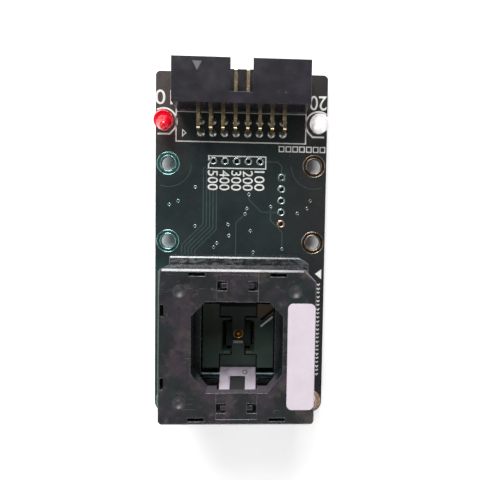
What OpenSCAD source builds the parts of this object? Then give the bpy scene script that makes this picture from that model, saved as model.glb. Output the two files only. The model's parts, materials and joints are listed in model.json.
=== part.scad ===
// Test-socket adaptor board: a long circuit board with a right-angle box header, two indicator
// lamps and an open-top zero-insertion-force socket for a square leadless package.
// Origin: centre of the four outer mounting holes, on the underside of the board.
// +X across the board, +Y towards the box header, +Z up out of the board's top face.

/* [Board] */
// Width of the board
board_w = 37.2; // [36.8:0.1:42]
// Length of the board
board_l = 74.8; // [74:0.1:80]
// Thickness of the board
board_t = 1.6; // [1.2:0.1:2.4]
// Distance from the south mounting holes to the south edge
south_margin = 2.7; // [2.6:0.1:3.4]
// Corner radius at the socket end
south_corner_r = 2.6; // [1:0.1:2.6]
// Corner radius at the header end
north_corner_r = 1; // [0.5:0.1:2]

/* [Mounting holes] */
// Hole spacing across the board
hole_span_x = 31.75; // [31.6:0.05:32]
// Spacing of the outer holes along the board
hole_span_y = 52.4; // [52:0.1:53]
// Distance of the middle pair of holes from the centre of the outer four
mid_hole_y = 9.35; // [9.2:0.05:9.6]
// Bore of a mounting hole
hole_d = 3.2; // [2.8:0.1:3.4]
// Outer diameter of the plated ring around a mounting hole
hole_ring_d = 5; // [4.6:0.1:5.2]

/* [Box header] */
// Pins in each of the two rows
pins_per_row = 8; // [6:1:8]
// Pin pitch, along and between the rows
pitch = 2.54; // [2:0.02:2.54]
// Thickness of a square pin
pin_w = 0.64; // [0.5:0.02:0.66]
// Distance of the far row of pin holes from the origin
far_row_y = 32.95; // [32.8:0.05:33.2]
// Height of the shroud above the board
shroud_h = 9.1; // [8.8:0.1:9.8]
// Depth of the shroud, front to back
shroud_l = 8.85; // [8.5:0.05:9]
// Distance from the near row of pin holes to the shroud's back
row_to_shroud = 2.01; // [1.6:0.01:2.4]
// Thickness of the shroud's side, top and bottom walls
shroud_wall = 1.3; // [1:0.05:1.5]
// Depth of the plug cavity
cavity_l = 6.65; // [6.2:0.05:6.7]
// Width of the keying notch
key_w = 4.55; // [4:0.05:4.8]
// How far the pin tips sit behind the shroud's mouth
tip_recess = 1.05; // [0.6:0.05:1.6]

/* [Lamps] */
// Distance of each lamp from the board's centre line
lamp_x = 16.7; // [16.6:0.05:16.8]
// Distance of the lamps from the origin along the board
lamp_y = 35.35; // [35:0.05:35.4]
// Diameter of the lamp's body
lamp_d = 3.1; // [2.9:0.05:3.2]
// Diameter of the lamp's flange
lamp_flange_d = 4.1; // [3.7:0.05:4.2]
// Length of the lamp's body, flange to tip
lamp_l = 5.2; // [4.6:0.1:5.6]
// Lean of the lamps, in degrees
lamp_tilt = 27; // [0:1:28]
// Height of the lamp's foot above the board
lamp_lift = 1.7; // [1.6:0.1:2.4]

/* [Unfitted connectors] */
// Distance of the five-pad row from the origin
pad_row_y = 26.95; // [26.5:0.05:27.2]
// Offset of the five-pad row from the centre line
pad_row_x = -1.05; // [-1.5:0.05:0]
// Offset of the five-pad column from the centre line
pad_column_x = 8.8; // [8.4:0.05:9.2]
// Distance of the column's first pad from the origin
pad_column_y = 23.6; // [23.2:0.05:23.8]

/* [Socket body] */
// Distance of the socket's centre from the origin
socket_y = -8.45; // [-8.6:0.05:-8.4]
// Width of the base
base_w = 28.2; // [28:0.1:28.6]
// Length of the base
base_l = 30.4; // [30:0.1:30.4]
// Height of the base's ledge above the board
ledge_z = 9; // [8.8:0.1:9]
// Height of the base's inner tower above the board
tower_z = 14.6; // [14:0.1:14.6]
// Half width of the tower inside the cover's skirt
tower_half = 12.6; // [12.5:0.05:12.7]
// Length of the chamfer at the first-pin corner of the base
base_chamfer = 1.9; // [1.5:0.1:3]

/* [Package seat] */
// Side of the square package that the socket takes
package_w = 6; // [5:0.1:6]
// Thickness of the package
package_t = 0.9; // [0.7:0.05:0.9]
// Clearance all round the package in its nest
nest_gap = 0.05; // [0.03:0.01:0.1]
// Height of the seating plane above the board
seat_z = 11; // [10.9:0.05:11.1]
// Contacts on each side of the package
contacts_per_side = 10; // [6:1:10]
// Contact pitch
contact_pitch = 0.5; // [0.4:0.05:0.5]
// Thickness of a contact
contact_t = 0.2; // [0.15:0.01:0.24]

/* [Cover] */
// Width and length of the cover
cover_w = 28; // [27.8:0.1:28]
// Height of the cover's top face above the board
cover_z = 22; // [22:0.1:22.6]
// Thickness of the cover's top plate
plate_t = 1.6; // [1.2:0.1:1.8]
// Depth of the cover's outer skirt
skirt_depth = 8; // [7:0.1:8]
// Thickness of the skirt
skirt_t = 1.05; // [0.8:0.05:1.05]
// Width of the octagonal opening
mouth_w = 16.4; // [16:0.1:16.6]
// Depth of the wall around the opening
mouth_depth = 4; // [3:0.1:4]
// Travel of the cover when pressed
stroke = 3; // [2.4:0.1:3]
// Thickness of the paper label
label_t = 0.1; // [0.06:0.01:0.2]

/* [Latches] */
// Distance of each latch axle from the socket's centre
axle_y = 8.3; // [8.2:0.05:8.4]
// Height of the latch axles above the board
axle_z = 11; // [10.95:0.05:11.1]
// Diameter of a latch axle
axle_d = 1.8; // [1.5:0.05:1.9]
// Width of a latch
latch_w = 7; // [6:0.1:7.2]
// Thickness of the steel face plate of a latch
latch_plate_t = 0.4; // [0.3:0.05:0.5]
// Width of the latch's nose
nose_w = 2.4; // [1.6:0.1:2.5]

/* [Springs] */
// Distance of the cover springs from the socket's centre, across
spring_x = 10.25; // [10.2:0.05:10.3]
// Distance of the cover springs from the socket's centre, along
spring_y = 10.05; // [10:0.05:10.1]
// Mean diameter of a cover spring
spring_d = 2.8; // [2.4:0.05:3]
// Wire diameter of a cover spring
spring_wire = 0.45; // [0.35:0.05:0.5]
// Turns in a cover spring
spring_turns = 8; // [5:1:9]

/* [Hidden] */
$fn = 48;
eps = 0.01;

// Fits and plating
plating = 0.05;       // thickness of copper and solder plating
slip = 0.02;          // gap between a pressed-in piece and its hole
running = 0.05;       // radial clearance of a turning or sliding piece
tail_z = -1.5;        // every lead and contact ends this far below the board

// Board outline
south_edge = -hole_span_y / 2 - south_margin;
north_edge = south_edge + board_l;
hole_ys = [-hole_span_y / 2, mid_hole_y, hole_span_y / 2];

// Header
near_row_y = far_row_y + pitch;
shroud_w = (pins_per_row - 1) * pitch + 10.16;
shroud_back = near_row_y + row_to_shroud;
shroud_front = shroud_back + shroud_l;
upper_pin_z = board_t + shroud_h / 2 + pitch / 2;
lower_pin_z = board_t + shroud_h / 2 - pitch / 2;
pin_xs = [for (i = [0:pins_per_row - 1]) (i - (pins_per_row - 1) / 2) * pitch];
pin_hole_r = 0.5;
pin_pad_r = 0.85;
pin_bend_r = 1;       // outer radius of the pins' right-angle bend

// Lamps
lead_d = 0.5;
lead_gap = 2.54;      // between a lamp's two leads
lamp_lean_x = 0.45;   // how much of the lean goes towards the centre line
leg_gap = 1.9;        // between the legs inside the lens
anvil_z = 2.2;        // height of the lead frame inside the lens
taper_z = anvil_z + 0.8;      // where the lens starts to taper
lamp_tip_r = 0.35 * lamp_d;   // radius of its tip

// Chip resistors on the underside, and their plated ends
chip = [2, 1.25, 0.5];
chip_end = 0.4;
chip_x = 12;
chip_y = 29.5;

// Unfitted connectors and vias
pad_r = 0.85;
pad_hole_r = 0.5;
via_d = 0.35;
vias = [[-10, 21.2], [-15.6, 17.3], [-13.7, 18.1], [-10, 12.7], [1.7, 19.8], [1.3, 16.7],
    [0.9, 15.5], [2.1, 11.8], [-2.8, 13.1], [-2.6, 10.7], [-5.2, 9], [-5.9, 8.1],
    [2.8, 7.1], [6.5, 17.2], [12.4, 15.8], [15.2, 18.6], [14.5, 16.9], [9.1, 7.9]];

// Socket body
base_gap = 0.4;                  // height of the base's feet
well_half_x = 7.1;               // half width of the latch well
well_half_y = 10.9;
channel_half = 3.95;             // half width of the gap through which a latch swings out
block_half = 5.1;                // half width of the contact block's upper part
block_foot_half = 8.2;           // half width of its foot
block_foot_z = 6;
peg_d = 1.6;
peg_x = 11.5;
peg_y = 11.5;
slot_in = 2.45;                  // near and far ends of a contact slot
slot_out = 3.6;
slot_foot_out = 7.5;
slot_half = (contacts_per_side - 1) * contact_pitch / 2 + 0.15;
slot_floor = 1.1;                // top of the block's floor, through which only the tails pass
tail_rows = [4, 5.5, 7];         // distances of the staggered rows of contact tails
tail_w = 0.34;
tail_hole_r = 0.26;
tail_pad_r = 0.45;
contact_rise = 0.15;             // how far a free contact stands above the seating plane
bottom_z = tail_z - board_t;     // end of the tails, counted from the board's top face

// Ground probe
sleeve_r = 0.8;
collar_r = 1;
plunger_r = 0.45;
stem_r = 0.33;
sleeve_floor = 3;
shoulder_z = seat_z - 0.7;       // top of the plunger's shoulder at rest
plunger_foot_z = 7;
plunger_top_z = seat_z + 0.35;

// Cover
cover_half = cover_w / 2;
skirt_in = cover_half - skirt_t;
plate_z = cover_z - plate_t;
skirt_z = cover_z - skirt_depth;
mouth_half = mouth_w / 2;
mouth_cut_n = [2.55, 2.6];       // the mouth's corner chamfers at its north end, across and along
mouth_cut_s = [2.7, 3.5];        // and at its south end
collar_t = 1.2;                  // thickness of the wall around the mouth
collar_gap = 0.25;               // its notches over the latches are this much wider, each side
collar_short = 2;                // depth that the wall keeps in a notch
hook_x = 5.9;
hook_w = 2.4;
hook_out = skirt_in - 0.2;
hook_t = 0.65;
hook_bottom = 11.6;
hook_nub = 0.6;
hook_nub_h = 0.8;
hook_side_gap = 0.15;            // clearance beside a hook, and behind it
hook_back_gap = 0.2;
corner_cut = 1.5;                // depth of the cut at the cover's first-pin corner
corner_cut_slope = 0.6;          // how much of the skirt's thickness that cut loses inside
post_r = 0.75;
post_l = 5;
rib_x = 2.6;                     // ribs under the cover's plate
rib_y = 10.3;
rib_w = 1.4;
rib_t = 1;
rib_z = 16.8;
spring_seat_z = 5;
spring_pocket_r = spring_d / 2 + spring_wire / 2 + 0.3;

// Cut at the tower's first-pin corner, the same distance inside the cover as the walls
tower_gap = skirt_in - tower_half;
tower_cut = corner_cut - corner_cut_slope * skirt_t + tower_gap * (1 - sqrt(2));

// Label
label_w = 4.95;
label_l = 19.3;
label_x = 11.45;
label_y = -1.62;
label_r = 1;

// Nest
nest_half_x = 6.9;
nest_half_y = 6.3;
nest_h = 2;                      // height of the nest above the seat
nest_top = seat_z + nest_h;
nose_gap = 0.3;
bridge_h = 0.4;                  // what is left of the nest under a latch's nose
bay_start = 3.6;                 // the open bays for the latches start here
bay_gap = 0.2;                   // clearance beside a latch in its bay
index_at = [4.35, 1.95];         // inner end of the rib that points to the first-pin corner
index_turn = 40;
index_rib = [3.1, 0.4, 0.3];
index_slot_w = 0.5;              // slot beside that rib
index_slot_h = 1.2;
index_slot_y = 0.9;

// Latch, seen along its axle: the axle is the origin and +Y points to the package
latch_half = latch_w / 2;
hub_r = 1.75;
nose_reach = axle_y - 1.05;      // the nose stops this far from the axle
nose_under = seat_z + package_t - axle_z;
body_reach = 4.45;               // the full-width body of the latch stops this far from the axle
body_top = 1.75;
plate_low = [2.17, 1];
plate_high = [-1.4, 4.9];
plate_angle = atan2(plate_high[1] - plate_low[1], plate_high[0] - plate_low[0]);
plate_len = norm(plate_high - plate_low);

// ---------- helpers ----------

module at_socket() translate([0, socket_y, board_t]) children();

module mirror_pair_x(x) for (s = [-1, 1]) translate([s * x, 0, 0]) children();

// Repeats a thing drawn in the +X +Y corner in all four corners
module in_corners() for (mx = [0, 1], my = [0, 1]) mirror([mx, 0, 0]) mirror([0, my, 0]) children();

module rounded_rect(w, l, r) {
    hull_x = w / 2 - r;
    hull_y = l / 2 - r;
    square([w, 2 * hull_y], center = true);
    square([2 * hull_x, l], center = true);
    for (sx = [-1, 1], sy = [-1, 1])
        translate([sx * hull_x, sy * hull_y]) circle(r = r);
}

// A plated through hole: a ring on each face of the board joined by a barrel
module plated_hole(ring_r, bore_r, square_ring = false) {
    difference() {
        union() {
            for (z = [-plating, board_t])
                translate([0, 0, z])
                    if (square_ring)
                        translate([-ring_r, -ring_r, 0]) cube([2 * ring_r, 2 * ring_r, plating]);
                    else
                        cylinder(r = ring_r, h = plating);
            translate([0, 0, -plating])
                cylinder(r = bore_r + plating, h = board_t + 2 * plating);
        }
        translate([0, 0, -1]) cylinder(r = bore_r, h = board_t + 2);
    }
}

module drill(r) translate([0, 0, -1]) cylinder(r = r + plating + slip, h = board_t + 2);

// A round bar between two points
module rod(from, to, d) {
    v = to - from;
    len = norm(v);
    translate(from) rotate([0, acos(v[2] / len), atan2(v[1], v[0])]) cylinder(d = d, h = len);
}

// ---------- where things sit ----------

module at_mounting_holes() for (s = [-1, 1], y = hole_ys)
    translate([s * hole_span_x / 2, y, 0]) children();
module at_header_pins() for (x = pin_xs, y = [far_row_y, near_row_y]) translate([x, y, 0]) children();
module at_row_pads() for (i = [-2:2]) translate([pad_row_x + i * pitch, pad_row_y, 0]) children();
// $first is true at the column's first pad
module at_column_pads() for (i = [0:4])
    translate([pad_column_x, pad_column_y - i * pitch, 0]) let ($first = i == 0) children();
module at_lamp_leads() for (sx = [-1, 1], sy = [-1, 1])
    translate([sx * lamp_x, lamp_y + sy * lead_gap / 2, 0]) children();
module at_socket_pegs() for (s = [-1, 1]) translate([s * peg_x, socket_y + s * peg_y, 0]) children();

function contact_offset(i) = (i - (contacts_per_side - 1) / 2) * contact_pitch;
function tail_row(i) = tail_rows[i % len(tail_rows)];

module at_contact_tails() translate([0, socket_y, 0])
    for (side = [0:3], i = [0:contacts_per_side - 1])
        rotate([0, 0, 90 * side]) translate([tail_row(i), contact_offset(i), 0]) children();

// ---------- board ----------

module board_outline() {
    r = south_corner_r;
    q = north_corner_r;
    half = board_w / 2;
    polygon([[-half + r, south_edge], [half - r, south_edge], [half, south_edge + r],
        [half, north_edge - q], [half - q, north_edge], [-half + q, north_edge],
        [-half, north_edge - q], [-half, south_edge + r]]);
    for (s = [-1, 1]) {
        translate([s * (half - r), south_edge + r]) circle(r = r);
        translate([s * (half - q), north_edge - q]) circle(r = q);
    }
}

module board() color([0.13, 0.17, 0.17]) difference() {
    linear_extrude(board_t) board_outline();
    at_mounting_holes() drill(hole_d / 2);
    at_header_pins() drill(pin_hole_r);
    at_row_pads() drill(pad_hole_r);
    at_column_pads() drill(pad_hole_r);
    at_lamp_leads() drill(pad_hole_r);
    at_contact_tails() drill(tail_hole_r);
    translate([0, socket_y, 0]) drill(pad_hole_r);
    at_socket_pegs() drill(peg_d / 2);
    for (v = vias) translate([v[0], v[1], -1]) cylinder(d = via_d, h = board_t + 2);
}

module mounting_rings() color([0.72, 0.72, 0.68]) at_mounting_holes()
    plated_hole(hole_ring_d / 2, hole_d / 2);

module header_pads() color([0.75, 0.72, 0.6])
    for (x = pin_xs, y = [far_row_y, near_row_y])
        translate([x, y, 0])
            plated_hole(pin_pad_r, pin_hole_r, x == pin_xs[0] && y == far_row_y);

module row_pads() color([0.75, 0.72, 0.68]) at_row_pads() plated_hole(pad_r, pad_hole_r);

module column_pads() color([0.75, 0.72, 0.68])
    at_column_pads() plated_hole(pad_r, pad_hole_r, $first);

module lamp_pads() color([0.75, 0.72, 0.68]) at_lamp_leads() plated_hole(pad_r, pad_hole_r);

module socket_pads() color([0.75, 0.72, 0.68]) {
    at_contact_tails() plated_hole(tail_pad_r, tail_hole_r);
    translate([0, socket_y, 0]) plated_hole(pad_r, pad_hole_r);
}

// ---------- box header ----------

module header_shroud() color([0.14, 0.14, 0.17]) {
    half = shroud_w / 2;
    inner_half = half - shroud_wall;
    cavity_back = shroud_front - cavity_l;
    mark_x = pin_xs[0];
    difference() {
        translate([-half, shroud_back, board_t]) cube([shroud_w, shroud_l, shroud_h]);
        translate([-inner_half, cavity_back, board_t + shroud_wall])
            cube([2 * inner_half, cavity_l + 1, shroud_h - 2 * shroud_wall]);
        translate([-key_w / 2, cavity_back, board_t + shroud_h - 2 * shroud_wall])
            cube([key_w, cavity_l + 1, 2 * shroud_wall + 1]);
        // First-pin mark: a shallow triangle in the top face
        translate([mark_x, shroud_front - 0.8, board_t + shroud_h - 0.12])
            linear_extrude(1) polygon([[-1, 0], [1, 0], [0, -2]]);
        // Square holes for the pins
        for (x = pin_xs, z = [lower_pin_z, upper_pin_z])
            translate([x - pin_w / 2 - slip, shroud_back - 1, z - pin_w / 2 - slip])
                cube([pin_w + 2 * slip, shroud_l, pin_w + 2 * slip]);
        // Relief under the body's back edge, over the near row of solder joints
        translate([-half + 2, shroud_back - 1, board_t - 1])
            cube([shroud_w - 4, 1.6, 1 + shroud_wall / 2]);
    }
}

// A pointed square bar end, 0.5 long, along +Y
module bar_tip() {
    tip_l = 0.5;
    small = pin_w * 0.5;
    intersection() {
        translate([0, 0, -pin_w / 2]) linear_extrude(pin_w)
            polygon([[-pin_w / 2, 0], [pin_w / 2, 0], [small / 2, tip_l], [-small / 2, tip_l]]);
        rotate([0, -90, 0]) translate([0, 0, -pin_w / 2]) linear_extrude(pin_w)
            polygon([[-pin_w / 2, 0], [pin_w / 2, 0], [small / 2, tip_l], [-small / 2, tip_l]]);
    }
}

// A right-angle pin: a level leg at height z that turns down into the hole at y
module bent_pin(x, y, z) {
    tip_l = 0.5;
    level_end = shroud_front - tip_recess - tip_l;
    bend_y = y - pin_w / 2 + pin_bend_r;
    bend_z = z + pin_w / 2 - pin_bend_r;
    translate([x, 0, 0]) {
        translate([-pin_w / 2, bend_y, z - pin_w / 2]) cube([pin_w, level_end - bend_y, pin_w]);
        translate([0, level_end, z]) bar_tip();
        translate([0, bend_y, bend_z]) intersection() {
            rotate([0, 90, 0]) difference() {
                cylinder(r = pin_bend_r, h = pin_w, center = true);
                cylinder(r = pin_bend_r - pin_w, h = pin_w + 1, center = true);
            }
            translate([-pin_w, -2 * pin_bend_r, 0]) cube([2 * pin_w, 2 * pin_bend_r, 2 * pin_bend_r]);
        }
        translate([-pin_w / 2, y - pin_w / 2, tail_z + tip_l]) cube([pin_w, pin_w, bend_z - tail_z - tip_l]);
        translate([0, y, tail_z + tip_l]) rotate([-90, 0, 0]) bar_tip();
    }
}

module header_pins_upper() color([0.8, 0.66, 0.36]) for (x = pin_xs) bent_pin(x, far_row_y, upper_pin_z);

module header_pins_lower() color([0.8, 0.66, 0.36]) for (x = pin_xs) bent_pin(x, near_row_y, lower_pin_z);

module header_solder() color([0.78, 0.77, 0.74]) at_header_pins() difference() {
    union() {
        translate([0, 0, board_t + plating])
            cylinder(r1 = pin_pad_r - 0.08, r2 = pin_w * 0.75, h = 0.55);
        translate([0, 0, -plating]) cylinder(r = pin_hole_r - slip, h = board_t + 2 * plating + eps);
        translate([0, 0, -plating - 0.7]) cylinder(r1 = pin_w * 0.75, r2 = pin_pad_r - 0.08, h = 0.7);
    }
    translate([-pin_w / 2, -pin_w / 2, -2]) cube([pin_w, pin_w, 6]);
}

// ---------- lamps ----------

// Places the lamp's foot; its axis leans towards the socket and the centre line
module at_lamp(side) translate([side * lamp_x, lamp_y, board_t + lamp_lift])
    rotate([lamp_tilt, -side * lamp_tilt * lamp_lean_x, 0]) children();

// Where a point on the lamp's own axes lies on the board
function from_lamp(side, p) =
    let (tilt_y = -side * lamp_tilt * lamp_lean_x,
        y = p[1] * cos(lamp_tilt) - p[2] * sin(lamp_tilt),
        z = p[1] * sin(lamp_tilt) + p[2] * cos(lamp_tilt))
    [side * lamp_x + p[0] * cos(tilt_y) + z * sin(tilt_y), lamp_y + y,
        board_t + lamp_lift - p[0] * sin(tilt_y) + z * cos(tilt_y)];

module lamp_lens(side) at_lamp(side) difference() {
    union() {
        difference() {
            cylinder(d = lamp_flange_d, h = 0.9);
            // Flat on the flange, towards the socket
            translate([-lamp_flange_d, -lamp_flange_d - lamp_d / 2 - 0.05, -1])
                cube([2 * lamp_flange_d, lamp_flange_d, 3]);
        }
        cylinder(d = lamp_d, h = taper_z);
        translate([0, 0, taper_z - eps])
            cylinder(r1 = lamp_d / 2, r2 = lamp_tip_r, h = lamp_l - lamp_tip_r - taper_z + eps);
        translate([0, 0, lamp_l - lamp_tip_r]) sphere(r = lamp_tip_r);
    }
    for (s = [-1, 1])
        translate([0, s * leg_gap / 2, -1]) cylinder(d = lead_d + 2 * slip, h = anvil_z + 1);
    translate([0, 0, anvil_z - 0.2]) cylinder(d = leg_gap + lead_d + 4 * slip, h = 1);
}

module lamp_leads(side) {
    at_lamp(side) {
        for (s = [-1, 1])
            translate([0, s * leg_gap / 2, -0.4]) cylinder(d = lead_d, h = anvil_z + 0.2 + slip);
        // Reflector cup on one leg, post on the other
        translate([0, -leg_gap / 2 + 0.3, anvil_z - 0.2 + slip]) cylinder(d1 = 0.9, d2 = 1.3, h = 0.6);
        translate([0, leg_gap / 2, anvil_z - 0.2 + slip]) cylinder(d = lead_d - 0.1, h = 0.7);
    }
    for (s = [-1, 1]) {
        top = from_lamp(side, [0, s * leg_gap / 2, -0.25]);
        foot = [side * lamp_x, lamp_y + s * lead_gap / 2, board_t];
        rod(foot, top, lead_d - 0.04);
        translate([foot[0], foot[1], tail_z]) cylinder(d = lead_d, h = board_t - tail_z + 0.15);
    }
}

module lamp_red_lens() color([0.95, 0.04, 0.14]) lamp_lens(-1);
module lamp_clear_lens() color([0.97, 0.97, 0.97]) lamp_lens(1);
module lamp_red_leads() color([0.75, 0.75, 0.74]) lamp_leads(-1);
module lamp_clear_leads() color([0.75, 0.75, 0.74]) lamp_leads(1);

module lamp_solder() color([0.78, 0.77, 0.74]) at_lamp_leads() difference() {
    union() {
        translate([0, 0, -plating]) cylinder(r = pad_hole_r - slip, h = board_t + plating);
        translate([0, 0, -plating - 0.7]) cylinder(r1 = lead_d * 0.7, r2 = pad_r - 0.08, h = 0.7);
    }
    translate([0, 0, -2]) cylinder(d = lead_d + 2 * slip, h = 6);
}

// ---------- chip resistors under the lamps' end of the board ----------

module chip_resistors() color([0.12, 0.12, 0.13]) mirror_pair_x(chip_x)
    translate([-chip[0] / 2 + chip_end, chip_y - chip[1] / 2, -chip[2]])
        cube([chip[0] - 2 * chip_end, chip[1], chip[2]]);

module chip_resistor_ends() color([0.78, 0.77, 0.74]) mirror_pair_x(chip_x)
    for (s = [-1, 1])
        translate([s * (chip[0] - chip_end) / 2 - chip_end / 2, chip_y - chip[1] / 2, -chip[2]])
            cube([chip_end, chip[1], chip[2]]);

// ---------- socket base and contact block ----------

module base_outline() {
    x = base_w / 2;
    y = base_l / 2;
    c = base_chamfer;
    polygon([[-x, -y], [x, -y], [x, y - 0.7 * c], [x - c, y], [-x, y]]);
}

module tower_outline() difference() {
    square(2 * tower_half, center = true);
    translate([tower_half, tower_half]) rotate(45) square([2 * tower_cut, 4 * tower_cut], center = true);
}

module square_bore(half, z0, z1) translate([-half, -half, z0]) cube([2 * half, 2 * half, z1 - z0]);

module socket_base() color([0.12, 0.12, 0.13]) at_socket() {
    difference() {
        union() {
            translate([0, 0, base_gap]) linear_extrude(ledge_z - base_gap) base_outline();
            translate([0, 0, ledge_z - eps]) linear_extrude(tower_z - ledge_z + eps) tower_outline();
            for (sx = [-1, 1], sy = [-1, 1])
                translate([sx * (base_w / 2 - 1.6), sy * (base_l / 2 - 1.6), 0])
                    cylinder(r = 1, h = base_gap + eps);
        }
        // Seat of the contact block, stepped
        square_bore(block_foot_half + slip, -1, block_foot_z);
        square_bore(block_half + slip, block_foot_z - eps, ledge_z + 1);
        // Latch well, open on top, with a gap at each end for the latches
        translate([-well_half_x, -well_half_y, ledge_z]) cube([2 * well_half_x, 2 * well_half_y, 20]);
        translate([-channel_half, -20, ledge_z]) cube([2 * channel_half, 40, 20]);
        // Bearings for the latch axles
        for (s = [-1, 1])
            translate([-well_half_x - 1.6, s * axle_y, axle_z]) rotate([0, 90, 0])
                cylinder(r = axle_d / 2 + slip, h = 2 * well_half_x + 3.2);
        // Spring pockets
        for (sx = [-1, 1], sy = [-1, 1])
            translate([sx * spring_x, sy * spring_y, spring_seat_z]) cylinder(r = spring_pocket_r, h = 20);
        // Slots for the cover's hooks: a narrow way in and a wide room under a catch
        in_corners() {
            low = hook_bottom - stroke - 0.3;
            slot_y = hook_out - hook_t - hook_back_gap;
            translate([hook_x - hook_side_gap, slot_y, low])
                cube([hook_w + 2 * hook_side_gap, skirt_in - slot_y, tower_z]);
            translate([hook_x - hook_side_gap, slot_y - hook_nub, low])
                cube([hook_w + 2 * hook_side_gap, skirt_in - slot_y,
                    hook_bottom + hook_nub_h + 0.05 - low]);
        }
        // Shallow hollow in each long side
        for (s = [-1, 1])
            translate([s * (base_w / 2 + 0.5) - 1, -7, base_gap + 1.6])
                cube([2, 14, ledge_z - base_gap - 3.2]);
    }
    for (s = [-1, 1])
        translate([s * peg_x, s * peg_y, -board_t]) cylinder(d = peg_d, h = board_t + base_gap + eps);
}

// The slot that holds one side's contacts, along +X
module contact_slot() {
    translate([slot_in, -slot_half, slot_floor]) cube([slot_out - slot_in, 2 * slot_half, 20]);
    translate([slot_in, -slot_half, slot_floor]) cube([slot_foot_out - slot_in, 2 * slot_half, 1.4]);
    for (row = tail_rows)
        translate([row - tail_w / 2 - slip, -slot_half, -1])
            cube([tail_w + 2 * slip, 2 * slot_half, 3]);
}

module contact_block() color([0.1, 0.12, 0.12]) at_socket() difference() {
    union() {
        square_bore(block_foot_half, base_gap, block_foot_z - slip);
        square_bore(block_half, block_foot_z - 1, seat_z);
    }
    for (side = [0:3]) rotate([0, 0, 90 * side]) contact_slot();
    translate([0, 0, -1]) cylinder(r = sleeve_r + slip, h = 20);
    translate([0, 0, shoulder_z - 0.2]) cylinder(r = collar_r + slip, h = 5);
}

// One stamped contact, standing in the XZ plane: tail, foot, spring arm and tip
module contact(row) {
    foot_z = slot_floor + 0.1;
    foot_t = 0.6;
    arm_t = 0.22;
    arm_x = slot_out - 0.35;
    knee_z = seat_z - 2.6;
    tip_x = 2.85;
    tip_z = seat_z + contact_rise;
    rotate([90, 0, 0]) translate([0, 0, -contact_t / 2]) linear_extrude(contact_t) {
        polygon([[row - tail_w / 2, bottom_z], [row + tail_w / 2, bottom_z],
            [row + tail_w / 2, foot_z + eps], [row - tail_w / 2, foot_z + eps]]);
        polygon([[arm_x - 0.6, foot_z], [slot_foot_out, foot_z],
            [slot_foot_out, foot_z + foot_t], [arm_x - 0.6, foot_z + foot_t]]);
        polygon([[arm_x, foot_z], [arm_x + arm_t, foot_z], [arm_x + arm_t, knee_z - 1.5],
            [slot_in + 0.55, knee_z], [arm_x + arm_t, knee_z + 1.3], [tip_x + arm_t, tip_z - 0.35],
            [tip_x + arm_t / 2, tip_z], [tip_x - arm_t / 2, tip_z], [arm_x - arm_t, knee_z + 1.2],
            [slot_in + 0.2, knee_z], [arm_x, knee_z - 1.7]]);
    }
}

module contact_side(side) color([0.83, 0.68, 0.36]) at_socket()
    rotate([0, 0, 90 * side])
        for (i = [0:contacts_per_side - 1]) translate([0, contact_offset(i), 0]) contact(tail_row(i));

module contacts_east() contact_side(0);
module contacts_north() contact_side(1);
module contacts_west() contact_side(2);
module contacts_south() contact_side(3);

module socket_solder() color([0.78, 0.77, 0.74]) {
    translate([0, socket_y, 0]) for (side = [0:3], i = [0:contacts_per_side - 1])
        rotate([0, 0, 90 * side]) translate([tail_row(i), contact_offset(i), -plating - 0.6])
            difference() {
                cylinder(r1 = tail_w * 0.65, r2 = tail_pad_r - 0.05, h = 0.6);
                translate([-tail_w / 2, -contact_t / 2, -1]) cube([tail_w, contact_t, 3]);
            }
    translate([0, socket_y, -plating - 0.6]) difference() {
        cylinder(r1 = 0.42, r2 = pad_r - 0.08, h = 0.6);
        translate([0, 0, -1]) cylinder(r = 0.3 + slip, h = 3);
    }
}

// ---------- ground probe in the middle of the seat ----------

module ground_sleeve() color([0.85, 0.62, 0.25]) at_socket() difference() {
    union() {
        translate([0, 0, bottom_z]) cylinder(r = 0.3, h = 3.2 - bottom_z - board_t);
        translate([0, 0, base_gap + 0.8]) cylinder(r = sleeve_r, h = shoulder_z - base_gap - 0.8);
        translate([0, 0, shoulder_z - 0.2]) cylinder(r = collar_r, h = seat_z + 0.1 - shoulder_z + 0.2);
    }
    translate([0, 0, sleeve_floor]) cylinder(r = plunger_r + running, h = shoulder_z + 0.02 - sleeve_floor);
    translate([0, 0, sleeve_floor]) cylinder(r = stem_r + running, h = 20);
    translate([0, 0, seat_z - 0.25]) cylinder(r1 = stem_r + running, r2 = collar_r - 0.15, h = 0.36);
}

module ground_plunger() color([0.88, 0.66, 0.3]) at_socket() difference() {
    union() {
        translate([0, 0, plunger_foot_z]) cylinder(r = plunger_r, h = shoulder_z - plunger_foot_z);
        translate([0, 0, shoulder_z - eps]) cylinder(r = stem_r, h = plunger_top_z - shoulder_z + eps);
    }
    // Crown: two crossed grooves across the tip
    for (a = [0, 90])
        rotate([0, 0, a]) translate([-0.09, -1, plunger_top_z - 0.2]) cube([0.18, 2, 1]);
}

// ---------- springs ----------

// A round wire wound on a helix, closed at both ends by flat caps
function coil_ring(radius, wire, angle, z, sides) =
    [for (k = [0:sides - 1])
        let (a = 360 * k / sides, r = radius + wire / 2 * cos(a))
        [r * cos(angle), r * sin(angle), z + wire / 2 * sin(a)]];

module coil(radius, wire, turns, height, steps) {
    sides = 6;
    rings = turns * steps;
    rise = height - wire;
    points = [for (i = [0:rings])
        each coil_ring(radius, wire, 360 * i / steps, wire / 2 + rise * i / rings, sides)];
    walls = [for (i = [0:rings - 1], k = [0:sides - 1])
        let (a = i * sides + k, b = i * sides + (k + 1) % sides)
        [a, b, b + sides, a + sides]];
    polyhedron(points = points, faces = concat(walls,
        [[for (k = [sides - 1:-1:0]) k]],
        [[for (k = [0:sides - 1]) rings * sides + k]]));
}

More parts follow.
